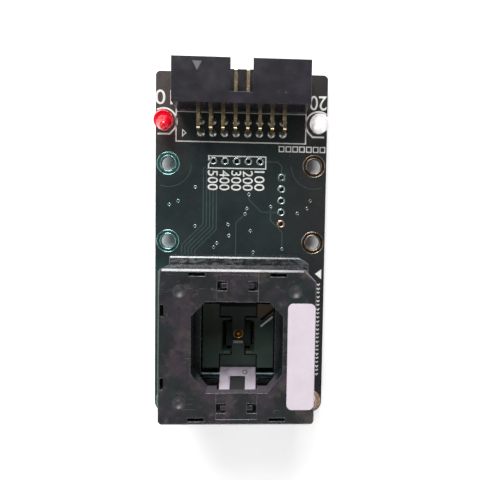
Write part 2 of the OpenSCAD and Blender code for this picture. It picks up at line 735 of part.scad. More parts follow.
module cover_spring(sx, sy) color([0.7, 0.7, 0.72]) at_socket()
    translate([sx * spring_x, sy * spring_y, spring_seat_z + slip])
        coil(spring_d / 2, spring_wire, spring_turns, plate_z - spring_seat_z - 2 * slip, 12);

module cover_spring_ne() cover_spring(1, 1);
module cover_spring_nw() cover_spring(-1, 1);
module cover_spring_se() cover_spring(1, -1);
module cover_spring_sw() cover_spring(-1, -1);

module ground_spring() color([0.7, 0.7, 0.72]) at_socket()
    translate([0, 0, sleeve_floor + slip])
        coil(0.32, 0.12, 6, plunger_foot_z - sleeve_floor - 2 * slip, 8);

// ---------- nest ----------

module nest() color([0.11, 0.12, 0.12]) at_socket() {
    pocket = package_w / 2 + nest_gap;
    lead_in = 0.3;
    lead_in_l = 2 * pocket - lead_in;
    through = 2 * nest_half_x;
    bay_half = latch_w / 2 + bay_gap;
    difference() {
        translate([-nest_half_x, -nest_half_y, seat_z]) cube([2 * nest_half_x, 2 * nest_half_y, nest_h]);
        square_bore(pocket, seat_z - nest_h, nest_top + nest_h);
        // Lead-in bevels on the four guides
        for (a = [0, 90, 180, 270])
            rotate([0, 0, a]) translate([-lead_in_l / 2, pocket, nest_top - lead_in])
                rotate([45, 0, 0]) cube([lead_in_l, 2 * lead_in, lead_in]);
        // Ways for the two latch noses, leaving a low bridge
        translate([-nose_w / 2 - nose_gap, -through / 2, seat_z + bridge_h])
            cube([nose_w + 2 * nose_gap, through, 2 * nest_h]);
        // Open bays for the latches
        for (m = [0, 1])
            mirror([0, m, 0]) translate([-bay_half, bay_start, seat_z - 1])
                cube([2 * bay_half, nest_half_y, nest_h + 2]);
        at_index() translate([index_slot_y, index_slot_y - index_slot_w / 2, -index_slot_h])
            cube([nest_half_x, index_slot_w, 2 * index_slot_h]);
    }
    at_index() translate([0, -index_rib[1] / 2, -eps]) cube(index_rib + [0, 0, eps]);
}

// Inner end of the index rib on the nest's top face, looking along the rib
module at_index() translate([index_at[0], index_at[1], nest_top]) rotate([0, 0, index_turn]) children();

// ---------- latches ----------

// Puts a latch drawn about its own axle at the south end, or turned round at the north
module at_axle(end) at_socket() rotate([0, 0, end > 0 ? 180 : 0]) translate([0, -axle_y, axle_z]) children();

module across(half) rotate([90, 0, 90]) translate([0, 0, -half]) linear_extrude(2 * half) children();

module axle(end) color([0.72, 0.73, 0.76]) at_axle(end)
    rotate([0, 90, 0]) cylinder(d = axle_d, h = 2 * well_half_x + 3, center = true);

module axle_north() axle(1);
module axle_south() axle(-1);

// A point at distance a along the plate's slope and b above it
function on_slope(a, b) = plate_low
    + a * [cos(plate_angle), sin(plate_angle)] + b * [sin(plate_angle), -cos(plate_angle)];

module latch_arm(end) color([0.16, 0.16, 0.18]) at_axle(end) difference() {
    union() {
        rotate([0, 90, 0]) cylinder(r = hub_r, h = latch_w, center = true);
        across(latch_half)
            polygon([[hub_r * 0.9, -0.4], on_slope(0, -latch_plate_t),
                on_slope(plate_len, -latch_plate_t), [-hub_r * 0.98, 0]]);
        across(latch_half)
            polygon([[0, 0], [hub_r - 0.1, 0.25], [body_reach, 0.5],
                [body_reach, body_top], [0, body_top]]);
        across(nose_w / 2)
            polygon([[0, 0], [hub_r - 0.1, 0.2], [nose_reach - 2, nose_under - 0.15],
                [nose_reach, nose_under], [nose_reach, nose_under + 0.7],
                [body_reach, body_top], [0, body_top]]);
    }
    rotate([0, 90, 0]) cylinder(r = axle_d / 2 + running, h = latch_w + 2, center = true);
    // The steel plate stands clear in front of the arm
    across(latch_half + 1)
        polygon([on_slope(0.3, -latch_plate_t), on_slope(plate_len + 2, -latch_plate_t),
            on_slope(plate_len + 2, 3), on_slope(0.3, 3)]);
}

module latch_plate(end) color([0.75, 0.71, 0.76]) at_axle(end) difference() {
    across(latch_half)
        polygon([on_slope(0.35, -latch_plate_t), on_slope(plate_len, -latch_plate_t),
            on_slope(plate_len, 0), on_slope(0.35, 0)]);
    // Cut-out between the plate's two legs
    across(1.45)
        polygon([on_slope(plate_len * 0.45, -1), on_slope(plate_len + 1, -1),
            on_slope(plate_len + 1, 1), on_slope(plate_len * 0.45, 1)]);
}

module latch_arm_north() latch_arm(1);
module latch_arm_south() latch_arm(-1);
module latch_plate_north() latch_plate(1);
module latch_plate_south() latch_plate(-1);

// ---------- cover and label ----------

module cover_outline(inset) {
    h = cover_half - inset;
    r = max(0.8 - inset, 0.1);
    c = corner_cut - inset * corner_cut_slope;
    difference() {
        rounded_rect(2 * h, 2 * h, r);
        translate([h, h]) rotate(45) square([2 * c, 4 * c], center = true);
    }
}

module octagon(half) {
    n = [half, half] - mouth_cut_n;
    s = [half, half] - mouth_cut_s;
    polygon([[-s[0], -half], [s[0], -half], [half, -s[1]], [half, n[1]],
        [n[0], half], [-n[0], half], [-half, n[1]], [-half, -s[1]]]);
}

module cover_hook() {
    leg_y = hook_out - hook_t;
    translate([hook_x, leg_y, hook_bottom]) cube([hook_w, hook_t, plate_z - hook_bottom + eps]);
    translate([hook_x, leg_y - hook_nub, hook_bottom]) cube([hook_w, hook_nub + eps, hook_nub_h]);
}

module cover() color([0.13, 0.13, 0.14]) at_socket() difference() {
    union() {
        difference() {
            translate([0, 0, skirt_z]) linear_extrude(cover_z - skirt_z) cover_outline(0);
            translate([0, 0, skirt_z - 1]) linear_extrude(plate_z - skirt_z + 1) cover_outline(skirt_t);
        }
        collar();
        in_corners() {
            cover_hook();
            translate([spring_x, spring_y, plate_z - post_l]) cylinder(r = post_r, h = post_l + eps);
            // Rib that presses a latch
            translate([rib_x - rib_w / 2, rib_y - rib_t / 2, rib_z])
                cube([rib_w, rib_t, plate_z - rib_z + eps]);
        }
    }
    translate([0, 0, cover_z - mouth_depth - 1]) linear_extrude(mouth_depth + 2) octagon(mouth_half);
    cover_marks();
}

// The wall around the mouth, notched over the latches
module collar() {
    notch_half = latch_half + collar_gap;
    wall_half = mouth_half + collar_t;
    difference() {
        translate([0, 0, cover_z - mouth_depth]) linear_extrude(mouth_depth - eps) octagon(wall_half);
        translate([-notch_half, -wall_half - 1, cover_z - mouth_depth - 1])
            cube([2 * notch_half, 2 * wall_half + 2, mouth_depth + 1 - collar_short]);
    }
}

// Cut-outs and hollows in the cover's top face
module cover_marks() {
    slot_x = 5.75;
    slot_w = 2.95;
    slot_t = 0.65;
    slot_y = cover_half - 1.25;
    side_x = cover_half - 1;
    side_y = 5.5;
    side_l = 2.1;
    // Core slots along the four edges
    for (sx = [-1, 1], sy = [-1, 1]) {
        translate([sx > 0 ? slot_x : -slot_x - slot_w, sy > 0 ? slot_y : -slot_y - slot_t, cover_z - 3])
            cube([slot_w, slot_t, 4]);
        translate([sx > 0 ? side_x : -side_x - slot_t, sy > 0 ? side_y : -side_y - side_l, cover_z - 3])
            cube([slot_t, side_l, 4]);
    }
    // Windows over the latches' drive ribs, each with a tongue left inside
    for (sx = [-1, 1], sy = [-1, 1]) {
        translate([sx * 2.75, sy * 11.05, 0]) difference() {
            translate([-0.87, -0.85, plate_z - 1]) cube([1.74, 1.7, plate_t + 2]);
            translate([-sx * 0.45 - 0.6, -0.4, plate_z - 2]) cube([1.2, 0.8, plate_t + 1.6]);
        }
    }
    // Shallow panel between the mouth and each end
    for (sy = [-1, 1])
        translate([-3.67, sy > 0 ? mouth_half - 1 : -cover_half + 1, cover_z - 0.12])
            cube([7.34, cover_half - mouth_half, 1]);
    // Round dimples over the springs
    for (sx = [-1, 1], sy = [-1, 1])
        translate([sx * spring_x, sy * spring_y, cover_z + 0.75]) sphere(r = 1.3);
}

module label() color([0.92, 0.89, 0.92]) at_socket() translate([label_x, label_y, cover_z])
    linear_extrude(label_t) rounded_rect(label_w, label_l, label_r);

// ---------- the parts ----------

board();
mounting_rings();
header_pads();
row_pads();
column_pads();
lamp_pads();
socket_pads();
header_shroud();
header_pins_upper();
header_pins_lower();
header_solder();
lamp_red_lens();
lamp_red_leads();
lamp_clear_lens();
lamp_clear_leads();
lamp_solder();
chip_resistors();
chip_resistor_ends();
socket_base();
contact_block();
contacts_north();
contacts_south();
contacts_east();
contacts_west();
socket_solder();
ground_sleeve();
ground_plunger();
ground_spring();
nest();
axle_north();
axle_south();
latch_arm_north();
latch_arm_south();
latch_plate_north();
latch_plate_south();
cover();
cover_spring_ne();
cover_spring_nw();
cover_spring_se();
cover_spring_sw();
label();
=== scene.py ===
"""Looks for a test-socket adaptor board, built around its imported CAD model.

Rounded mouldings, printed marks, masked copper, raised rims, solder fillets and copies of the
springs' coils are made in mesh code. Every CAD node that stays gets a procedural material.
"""

import json
import math
import random

import bmesh
import bpy
from mathutils import Matrix, Vector


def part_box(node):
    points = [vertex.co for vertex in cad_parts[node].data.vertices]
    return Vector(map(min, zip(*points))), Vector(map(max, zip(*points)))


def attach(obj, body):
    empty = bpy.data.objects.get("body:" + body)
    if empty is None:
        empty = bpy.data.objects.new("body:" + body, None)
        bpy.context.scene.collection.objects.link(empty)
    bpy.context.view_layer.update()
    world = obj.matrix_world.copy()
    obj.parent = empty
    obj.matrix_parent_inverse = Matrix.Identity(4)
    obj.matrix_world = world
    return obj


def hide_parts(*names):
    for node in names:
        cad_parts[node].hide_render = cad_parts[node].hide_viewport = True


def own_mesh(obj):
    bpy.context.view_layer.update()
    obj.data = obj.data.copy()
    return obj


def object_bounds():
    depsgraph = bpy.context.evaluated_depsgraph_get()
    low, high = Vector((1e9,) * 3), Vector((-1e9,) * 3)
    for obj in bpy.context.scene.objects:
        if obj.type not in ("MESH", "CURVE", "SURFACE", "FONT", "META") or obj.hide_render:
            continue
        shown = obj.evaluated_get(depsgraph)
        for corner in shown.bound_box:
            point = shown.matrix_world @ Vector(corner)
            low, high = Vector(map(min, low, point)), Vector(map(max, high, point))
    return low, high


MM = 0.001

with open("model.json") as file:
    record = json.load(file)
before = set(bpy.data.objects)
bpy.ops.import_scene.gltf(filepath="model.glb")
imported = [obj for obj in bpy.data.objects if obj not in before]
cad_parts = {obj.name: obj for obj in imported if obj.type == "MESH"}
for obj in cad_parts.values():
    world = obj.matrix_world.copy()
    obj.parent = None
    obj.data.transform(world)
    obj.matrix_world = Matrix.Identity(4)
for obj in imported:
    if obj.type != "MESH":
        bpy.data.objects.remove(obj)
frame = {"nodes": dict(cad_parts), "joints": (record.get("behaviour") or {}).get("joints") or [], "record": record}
cad_low, cad_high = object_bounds()
nodes = frame["nodes"]
rng = random.Random(7)

# ---------- sizes, in mm, from the frame ----------

BOARD_LOW, BOARD_HIGH = [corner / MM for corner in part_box("board")]
COVER_LOW, COVER_HIGH = [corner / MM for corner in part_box("cover")]
BASE_LOW, BASE_HIGH = [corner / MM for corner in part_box("socket_base")]
SHROUD_LOW, SHROUD_HIGH = [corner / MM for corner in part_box("header_shroud")]
TOP = BOARD_HIGH.z
UNDER = 0.0
PITCH = 2.54
PADS = 5
PAD_R = 0.85
PIN_W = 0.64
PLATING = 0.05
FAR_ROW_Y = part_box("header_pads")[0].y / MM + PAD_R
NEAR_ROW_Y = FAR_ROW_Y + PITCH
PIN_XS = [(i - 3.5) * PITCH for i in range(8)]
LAMP_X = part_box("lamp_pads")[1].x / MM - PAD_R
LAMP_YS = [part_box("lamp_pads")[0].y / MM + PAD_R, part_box("lamp_pads")[1].y / MM - PAD_R]
LAMP_Y = sum(LAMP_YS) / 2
LEAD_R = 0.25
HOLE_R = 1.6
RING_R = 2.5
HOLE_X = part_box("mounting_rings")[1].x / MM - RING_R
HOLE_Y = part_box("mounting_rings")[1].y / MM - RING_R
MID_HOLE_Y = 9.35
HOLE_YS = (-HOLE_Y, MID_HOLE_Y, HOLE_Y)
ROW_LOW, ROW_HIGH = [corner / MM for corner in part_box("row_pads")]
ROW_Y = (ROW_LOW.y + ROW_HIGH.y) / 2
ROW_X = (ROW_LOW.x + ROW_HIGH.x) / 2
COLUMN_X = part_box("column_pads")[1].x / MM - PAD_R
COLUMN_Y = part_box("column_pads")[1].y / MM - PAD_R
SOCKET_Y = (COVER_LOW.y + COVER_HIGH.y) / 2
LEDGE_Z = TOP + 9
SPRING = sum(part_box("cover_spring_ne"), Vector()) / 2 / MM
NEST_TOP = TOP + 13
SEAT_Z = TOP + 11
# Each side's contacts, and how far from the socket's middle their tails come out, in three rows
CONTACTS = 10
CONTACT_PITCH = 0.5
TAIL_ROWS = (4, 5.5, 7)
VIAS = [(-10, 21.2), (-15.6, 17.3), (-13.7, 18.1), (-10, 12.7), (1.7, 19.8), (1.3, 16.7),
        (0.9, 15.5), (2.1, 11.8), (-2.8, 13.1), (-2.6, 10.7), (-5.2, 9), (-5.9, 8.1),
        (2.8, 7.1), (6.5, 17.2), (12.4, 15.8), (15.2, 18.6), (14.5, 16.9), (9.1, 7.9)]

# ---------- materials ----------


class Graph:
    """A material's node tree, with a Principled shader and short calls for what is used often."""

    def __init__(self, name):
        self.material = bpy.data.materials.new(name)
        self.material.use_nodes = True
        self.tree = self.material.node_tree
        self.shader = self.tree.nodes["Principled BSDF"]
        self.place = self.tree.nodes.new("ShaderNodeTexCoord").outputs["Object"]

    def node(self, kind, settings=(), **inputs):
        made = self.tree.nodes.new("ShaderNode" + kind)
        for key, value in dict(settings).items():
            setattr(made, key, value)
        for key, value in inputs.items():
            self.set(made.inputs[key.replace("_", " ")], value)
        return made

    def set(self, socket, value):
        if isinstance(value, bpy.types.NodeSocket):
            self.tree.links.new(value, socket)
        else:
            socket.default_value = value

    def axes(self):
        """The three coordinates of the point, in metres."""
        return self.node("SeparateXYZ", Vector=self.place).outputs

    def both(self, *masks):
        """Where all of these masks are 1."""
        product = masks[0]
        for mask in masks[1:]:
            product = self.maths("MULTIPLY", product, mask)
        return product

    def stretch(self, scale):
        """The object's coordinates, stretched by a factor on each axis."""
        return self.node("Mapping", Vector=self.place, Scale=scale).outputs[0]

    def noise(self, size, detail=3.0, rough=0.55, place=None):
        """Noise from 0 to 1 whose blotches are about this many millimetres across."""
        return self.node("TexNoise", Vector=place or self.place, Scale=1 / (size * MM), Detail=detail,
                         Roughness=rough).outputs[0]

    def drift(self, size, detail=3.0, low=0.0, high=1.0):
        """Soft blotches of about this many millimetres, from low to high."""
        return self.ramp(self.noise(size, detail), 0.3, 0.7, low, high)

    def ramp(self, value, low, high, to_low=0.0, to_high=1.0):
        """Maps low..high to to_low..to_high, clamped."""
        made = self.node("MapRange", {"clamp": True})
        for i, v in enumerate((value, low, high, to_low, to_high)):
            self.set(made.inputs[i], v)
        return made.outputs[0]

    def fade(self, coordinate, low, high):
        """0 to 1 as a coordinate goes from low to high, which are in millimetres."""
        return self.ramp(coordinate, low * MM, high * MM)

    def away(self, coordinate, place):
        """How far a coordinate is from a place in millimetres, on either side of it."""
        return self.maths("ABSOLUTE", self.maths("SUBTRACT", coordinate, place * MM))

    def mix(self, share, a, b):
        """Colour a where share is 0 and colour b where it is 1."""
        made = self.node("Mix", {"data_type": "RGBA"})
        self.set(made.inputs[0], share)
        self.set(made.inputs[6], a)
        self.set(made.inputs[7], b)
        return made.outputs[2]

    def maths(self, operation, a, b=0.0):
        made = self.node("Math", {"operation": operation})
        self.set(made.inputs[0], a)
        self.set(made.inputs[1], b)
        return made.outputs[0]

    def specks(self, spacing, share, size):
        """Small round specks: 1 on a speck and 0 elsewhere, on this share of the cells."""
        cell = self.node("TexVoronoi", Vector=self.place, Scale=1 / (spacing * MM))
        near = self.ramp(cell.outputs["Distance"], size * 0.6, size, 1, 0)
        chosen = self.node("SeparateColor", Color=cell.outputs["Color"]).outputs[0]
        return self.maths("MULTIPLY", near, self.maths("LESS_THAN", chosen, share))

    def edges(self, radius):
        """The normal with edges rounded over this radius in mm, and a mask of those edges."""
        bevel = self.node("Bevel", {"samples": 6}, Radius=radius * MM)
        true = self.node("NewGeometry").outputs["Normal"]
        dot = self.node("VectorMath", {"operation": "DOT_PRODUCT"})
        self.tree.links.new(bevel.outputs[0], dot.inputs[0])
        self.tree.links.new(true, dot.inputs[1])
        return bevel.outputs[0], self.ramp(dot.outputs["Value"], 0.75, 0.98, 1, 0)

    def bump(self, height, depth, normal=None):
        """A normal bent by a height map, where depth is the height of 1 in millimetres."""
        made = self.node("Bump", Strength=1.0, Distance=depth * MM, Height=height)
        if normal is not None:
            self.set(made.inputs["Normal"], normal)
        return made.outputs[0]

    def finish(self, colour, roughness, normal=None, **constants):
        self.set(self.shader.inputs["Base Color"], colour)
        self.set(self.shader.inputs["Roughness"], roughness)
        if normal is not None:
            self.set(self.shader.inputs["Normal"], normal)
        for key, value in constants.items():
            self.shader.inputs[key.replace("_", " ")].default_value = value
        return self.material


def rgb(r, g, b):
    """A colour written as 0 to 255 display values, as the shader wants it."""
    def linear(v):
        v = v / 255
        return v / 12.92 if v <= 0.04045 else ((v + 0.055) / 1.055) ** 2.4
    return (linear(r), linear(g), linear(b), 1)


def solder_mask():
    """Dark green-black lacquer over copper, with the board's fibrous edge on its cut faces."""
    g = Graph("solder_mask")
    x, y, _ = g.axes()
    top = g.mix(g.drift(14, 2), rgb(31, 41, 42), rgb(41, 52, 52))
    # Greyer to the east, brown in the two corners beside the header, and a painted green reflection along the
    # south-west edge
    east = g.both(g.fade(x, 6, 16), g.ramp(g.noise(20, 2), 0.3, 0.6, 0.5, 1))
    top = g.mix(east, top, rgb(42, 42, 43))
    corners = g.both(g.fade(g.away(x, 0), 11, 14.5), g.fade(y, 24, 36))
    top = g.mix(corners, top, g.mix(g.fade(x, 0, 10), rgb(68, 60, 57), rgb(46, 42, 42)))
    top = g.mix(g.both(g.fade(x, -16.3, -17), g.fade(y, 6, 3)), top, rgb(38, 66, 60))
    top = g.mix(g.specks(2.6, 0.08, 0.03), top, rgb(120, 130, 125))
    # The cut faces
    normal = g.node("NewGeometry").outputs["Normal"]
    upright = g.maths("ABSOLUTE", g.node("SeparateXYZ", Vector=normal).outputs[2])
    cut = g.ramp(upright, 0.4, 0.6, 1, 0)
    fibres = g.noise(0.12, 4, place=g.stretch((0.15, 0.15, 1.0)))
    core = g.mix(g.ramp(fibres, 0.35, 0.65), rgb(44, 52, 42), rgb(84, 84, 64))
    rough = g.maths("ADD", g.drift(3, 4, 0.22, 0.36), g.maths("MULTIPLY", cut, 0.45))
    soft, _ = g.edges(0.06)
    return g.finish(g.mix(cut, top, core), rough, g.bump(g.noise(0.7, 2), 0.006, soft),
                    Specular_IOR_Level=0.5)


def masked_copper():
    """Copper under the mask: the same lacquer, a little lighter."""
    g = Graph("masked_copper")
    colour = g.mix(g.drift(6, 2), rgb(56, 74, 71), rgb(68, 87, 84))
    return g.finish(colour, g.drift(1.5, 3, 0.2, 0.32), g.bump(g.noise(0.4), 0.004))


def silk():
    """Screen-printed white ink, slightly broken."""
    g = Graph("silk_ink")
    colour = g.mix(g.ramp(g.noise(1.2, 4), 0.35, 0.7), rgb(222, 222, 218), rgb(250, 250, 247))
    colour = g.mix(g.ramp(g.noise(0.15, 2), 0.7, 0.77), colour, rgb(130, 136, 132))
    return g.finish(colour, g.drift(0.5, 3, 0.5, 0.75), g.bump(g.noise(0.12), 0.008))


def metal(name, low, high, roughness, patch=0.8, scratch=0.3, dull=None, rim=None):
    """Plated or plain metal: drifting colour, fine scratches, dull patches, and edges painted pale as painted
    highlights.
    """
    g = Graph(name)
    colour = g.mix(g.drift(patch, 4), low, high)
    if dull is not None:
        colour = g.mix(g.ramp(g.noise(patch * 0.6, 4), 0.56, 0.7, 0, 0.8), colour, dull)
    soft, edge = g.edges(0.07)
    # Painted highlights: the edges are painted in the pale rim colour
    if rim is not None:
        colour = g.mix(g.maths("MULTIPLY", edge, 0.85), colour, rim)
    lines = g.noise(0.06, 3, place=g.stretch((0.12, 1, 1)))
    rough = g.ramp(g.noise(patch * 0.5, 4), 0.25, 0.75, *roughness)
    return g.finish(colour, rough, g.bump(lines, 0.004 * scratch, soft), Metallic=1.0)


def plating(name, tin, west, east, copper, roughness):
    """Tinned copper with painted reflections: green on the west side, dark brown on the east;
    bare copper to the south-east.

    Each of the four tones is a pair of colours that drift into each other. The middle mounting
    hole on the east is left out of the bare copper.
    """
    g = Graph(name)
    x, y, _ = g.axes()
    tone = g.drift(1.6, 3)
    colour = g.mix(tone, *tin)
    # Painted reflections: green on the west side, dark brown on the east
    colour = g.mix(g.fade(x, -12, -13), colour, g.mix(tone, *west))
    colour = g.mix(g.fade(x, 12, 13), colour, g.mix(tone, *east))
    south = g.both(g.fade(x, 7, 7.5), g.fade(y, 14.8, 14.5), g.fade(g.away(y, MID_HOLE_Y), 3, 3.2))
    colour = g.mix(south, colour, g.mix(tone, *copper))
    soft, _ = g.edges(0.04)
    rough = g.drift(0.7, 3, *roughness)
    return g.finish(colour, rough, g.bump(g.noise(0.5, 3), 0.006, soft), Metallic=1.0)


MOULDING_IOR = 1.6


def moulding(name, low, high, worn, roughness, clouds=(), dust=0.12, edge=0.12, scratch=0.5,
             level=0.6, rubbed=0.75, local=None):
    """Black moulded plastic: clouded patches, scratches, dust, and edges rubbed pale.

    Each of the clouds is its size, the noise at which it starts and is full, and its colour.
    local changes the colour and the roughness by the place on the piece.
    """
    g = Graph(name)
    colour = g.mix(g.drift(5, 4), low, high)
    for size, start, stop, cloud in clouds:
        colour = g.mix(g.ramp(g.noise(size, 5, 0.6), start, stop, 0, 0.9), colour, cloud)
    soft, rim = g.edges(edge)
    broken = g.both(rim, g.ramp(g.noise(0.9, 4), 0.36, 0.62))
    colour = g.mix(g.maths("MULTIPLY", broken, rubbed), colour, worn)
    colour = g.mix(g.specks(1.7, dust, 0.05), colour, rgb(165, 163, 165))
    hair = g.noise(0.35, 2, place=g.stretch((0.06, 1.3, 1)))
    colour = g.mix(g.ramp(hair, 0.71, 0.76, 0, scratch), colour, worn)
    rough = g.drift(2.2, 5, *roughness)
    if local:
        colour, rough = local(g, colour, rough)
    return g.finish(colour, rough, g.bump(g.noise(0.09, 3), 0.002, soft),
                    Specular_IOR_Level=level, IOR=MOULDING_IOR)


def cover_places(g, colour, rough):
    """Painted shade and light in the cover's mouth: its walls are painted dark greenish as shade, but its
    south wall, facing the north light, is painted pale as lit. Its four dimples are painted darker as
    shade, and are duller.
    """
    x, y, z = g.axes()
    across, along = g.away(x, 0), g.maths("SUBTRACT", y, SOCKET_Y * MM)
    off_middle = g.away(y, SOCKET_Y)
    below = g.fade(z, COVER_HIGH.z - 0.12, COVER_HIGH.z - 0.3)
    within = g.both(below, g.fade(across, 9.2, 8.9), g.fade(off_middle, 9.2, 8.9))
    # Painted light over the mouth's walls, then painted shade over all of them but the south wall
    colour = g.mix(within, colour, rgb(92, 86, 94))
    colour = g.mix(g.both(within, g.fade(along, -6.4, -5.6)), colour, rgb(18, 27, 26))
    # The four dimples: painted shade, and a rougher finish
    out = g.maths("SUBTRACT", across, SPRING.x * MM)
    up = g.maths("SUBTRACT", off_middle, (SPRING.y - SOCKET_Y) * MM)
    spread = g.maths("ADD", g.maths("MULTIPLY", out, out), g.maths("MULTIPLY", up, up))
    dimple = g.fade(g.maths("SQRT", spread), 1.3, 1.1)
    colour = g.mix(dimple, colour, rgb(26, 25, 29))
    return colour, g.maths("ADD", rough, g.maths("MULTIPLY", dimple, 0.3))


def latch_places(g, colour, rough):
    """The latches' outer slopes, behind their plates, are painted darker, as painted shade."""
    along = g.away(g.axes()[1], SOCKET_Y)
    return g.mix(g.fade(along, 6.3, 6.8), colour, rgb(20, 25, 27)), rough


def nest_places(g, colour, rough):
    """The nest's north-east field carries a painted brown reflection."""
    x, y, _ = g.axes()
    along = g.maths("SUBTRACT", y, SOCKET_Y * MM)
    corner = g.both(g.fade(x, 3.5, 3.8), g.fade(along, 3.5, 3.9))
    return g.mix(corner, colour, rgb(92, 80, 64)), rough


def scuffed_ledge():
    """The socket base's plastic, whose ledge is scuffed grey where tools have rubbed it."""
    g = Graph("scuffed_plastic")
    z = g.axes()[2]
    colour = g.mix(g.drift(4, 4), rgb(28, 34, 36), rgb(42, 46, 48))
    streaks = g.noise(0.55, 4, place=g.stretch((0.45, 1, 1)))
    scuff = g.both(g.ramp(streaks, 0.46, 0.6), g.ramp(g.noise(3.5, 3), 0.3, 0.6),
                   g.fade(z, LEDGE_Z - 0.4, LEDGE_Z - 0.1), g.fade(z, LEDGE_Z + 0.4, LEDGE_Z + 0.1))
    colour = g.mix(scuff, colour, rgb(104, 108, 112))
    soft, rim = g.edges(0.14)
    colour = g.mix(g.maths("MULTIPLY", rim, 0.6), colour, rgb(130, 130, 132))
    rough = g.drift(1.5, 5, 0.18, 0.34)
    return g.finish(colour, rough, g.bump(g.noise(0.3, 4), 0.012, soft),
                    Specular_IOR_Level=1.0, IOR=MOULDING_IOR)


def lens(name, low, high, transmission, **constants):
    """Cast epoxy of an indicator lamp, lightly hazed."""
    g = Graph(name)
    colour = g.mix(g.ramp(g.noise(1.4, 3), 0.35, 0.65), low, high)
    rough = g.drift(0.7, 4, 0.08, 0.22)
    return g.finish(colour, rough, g.bump(g.noise(0.8, 2), 0.02), Transmission_Weight=transmission,
                    Coat_Weight=0.6, Coat_Roughness=0.05, IOR=1.5, **constants)


def paper():
    """A blank self-adhesive label with faint fibres, a rubbed rim and a few smudges."""
    g = Graph("label_paper")
    colour = g.mix(g.drift(4, 4), rgb(215, 203, 214), rgb(225, 215, 224))
    colour = g.mix(g.ramp(g.noise(1.1, 4), 0.62, 0.75, 0, 0.3), colour, rgb(204, 194, 206))
    colour = g.mix(g.specks(0.8, 0.12, 0.07), colour, rgb(196, 184, 204))
    fibres = g.noise(0.22, 4, place=g.stretch((1, 0.35, 1)))
    soft, rim = g.edges(0.2)
    colour = g.mix(g.maths("MULTIPLY", rim, 0.4), colour, rgb(176, 164, 178))
    return g.finish(colour, g.drift(0.6, 3, 0.45, 0.7), g.bump(fibres, 0.012, soft))


def solder():
    """Bright tin with a grainy skin and flux-stained hollows."""
    g = Graph("solder_tin")
    colour = g.mix(g.ramp(g.noise(0.5, 4), 0.35, 0.65), rgb(190, 186, 178), rgb(240, 238, 232))
    colour = g.mix(g.ramp(g.noise(0.8, 3), 0.58, 0.72, 0, 0.75), colour, rgb(150, 118, 76))
    rough = g.drift(0.3, 4, 0.15, 0.38)
    return g.finish(colour, rough, g.bump(g.noise(0.25, 4), 0.03), Metallic=1.0)


PURPLE = rgb(62, 53, 61)
BARE_COPPER = (rgb(214, 176, 152), rgb(236, 206, 186))
MATERIALS = {
    "board": solder_mask(),
    # The plated tin is painted dark, a painted dark reflection, against the bright tin of the rims
    "tin": plating("plated_tin", (rgb(92, 118, 114), rgb(128, 150, 146)),
                   (rgb(52, 96, 96), rgb(74, 122, 120)), (rgb(58, 52, 46), rgb(80, 70, 62)),
                   BARE_COPPER, (0.3, 0.45)),
    "gold": metal("plated_gold", rgb(172, 152, 116), rgb(218, 196, 158), (0.18, 0.3), patch=2.4,
                  rim=rgb(246, 230, 196)),
    "header_plastic": moulding("header_plastic", rgb(34, 32, 38), rgb(43, 41, 48), rgb(100, 96, 106),
                               (0.18, 0.28), clouds=((5, 0.52, 0.75, rgb(52, 49, 56)),), dust=0.2,
                               edge=0.1, scratch=0.3, level=0.45),
    # Both lenses have a faint emission: a painted glow that brightens them
    "lamp_red": lens("lamp_red", rgb(226, 2, 34), rgb(250, 10, 50), 0.15,
                     Emission_Color=rgb(250, 6, 44), Emission_Strength=0.12),
    "lamp_clear": lens("lamp_clear", rgb(244, 238, 240), rgb(255, 251, 252), 0.05,
                       Emission_Color=rgb(255, 248, 250), Emission_Strength=0.15),
    "lead_steel": metal("tinned_lead", rgb(170, 168, 165), rgb(206, 204, 200), (0.22, 0.4)),
    "chip_black": moulding("chip_glaze", rgb(20, 20, 22), rgb(32, 32, 35), rgb(90, 90, 92), (0.25, 0.4)),
    "socket_plastic": moulding("socket_plastic", rgb(30, 33, 35), rgb(42, 43, 46), rgb(128, 124, 130),
                               (0.18, 0.32), edge=0.14, level=0.9),
    "inner_plastic": moulding("inner_plastic", rgb(40, 53, 48), rgb(54, 67, 61), rgb(74, 84, 78),
                              (0.34, 0.5), clouds=((5, 0.5, 0.7, rgb(62, 65, 54)),), dust=0.05,
                              edge=0.06, scratch=0.15, level=0.2, rubbed=0.45),
    "steel": metal("brushed_steel", rgb(140, 132, 143), rgb(164, 155, 166), (0.34, 0.5), patch=2.5,
                   scratch=1.0, dull=rgb(106, 98, 108), rim=rgb(190, 184, 194)),
    "spring_steel": metal("spring_wire", rgb(150, 150, 154), rgb(190, 190, 194), (0.2, 0.35)),
    "paper": paper(),
}
LEDGE = scuffed_ledge()
# A dark copy of the gold: painted shade for the contacts, which sit deep in the socket
CONTACT = metal("contact_gold", rgb(74, 62, 40), rgb(110, 92, 58), (0.3, 0.45))
PROBE = metal("probe_gold", rgb(206, 150, 66), rgb(250, 214, 138), (0.16, 0.3), rim=rgb(255, 240, 205))
# Dark steel: painted shade for the axles, which lie in shadow; the punch mark uses it too
AXLE = metal("ground_axle", rgb(52, 64, 68), rgb(84, 96, 98), (0.3, 0.45))
# Painted highlight: pale paint on the index rib's crest, standing for the light its edge catches
PAINTED_RIB_HIGHLIGHT = moulding("painted_rib_highlight", rgb(226, 232, 222), rgb(250, 252, 246), rgb(250, 250, 245), (0.3, 0.4))
MARK = moulding("mark_paint", rgb(84, 79, 88), rgb(98, 92, 102), rgb(140, 134, 146), (0.5, 0.65))
RIM = plating("rim_tin", (rgb(176, 200, 196), rgb(216, 230, 226)),
              (rgb(146, 200, 200), rgb(196, 230, 228)), (rgb(150, 134, 118), rgb(200, 184, 166)),
              BARE_COPPER, (0.2, 0.32))
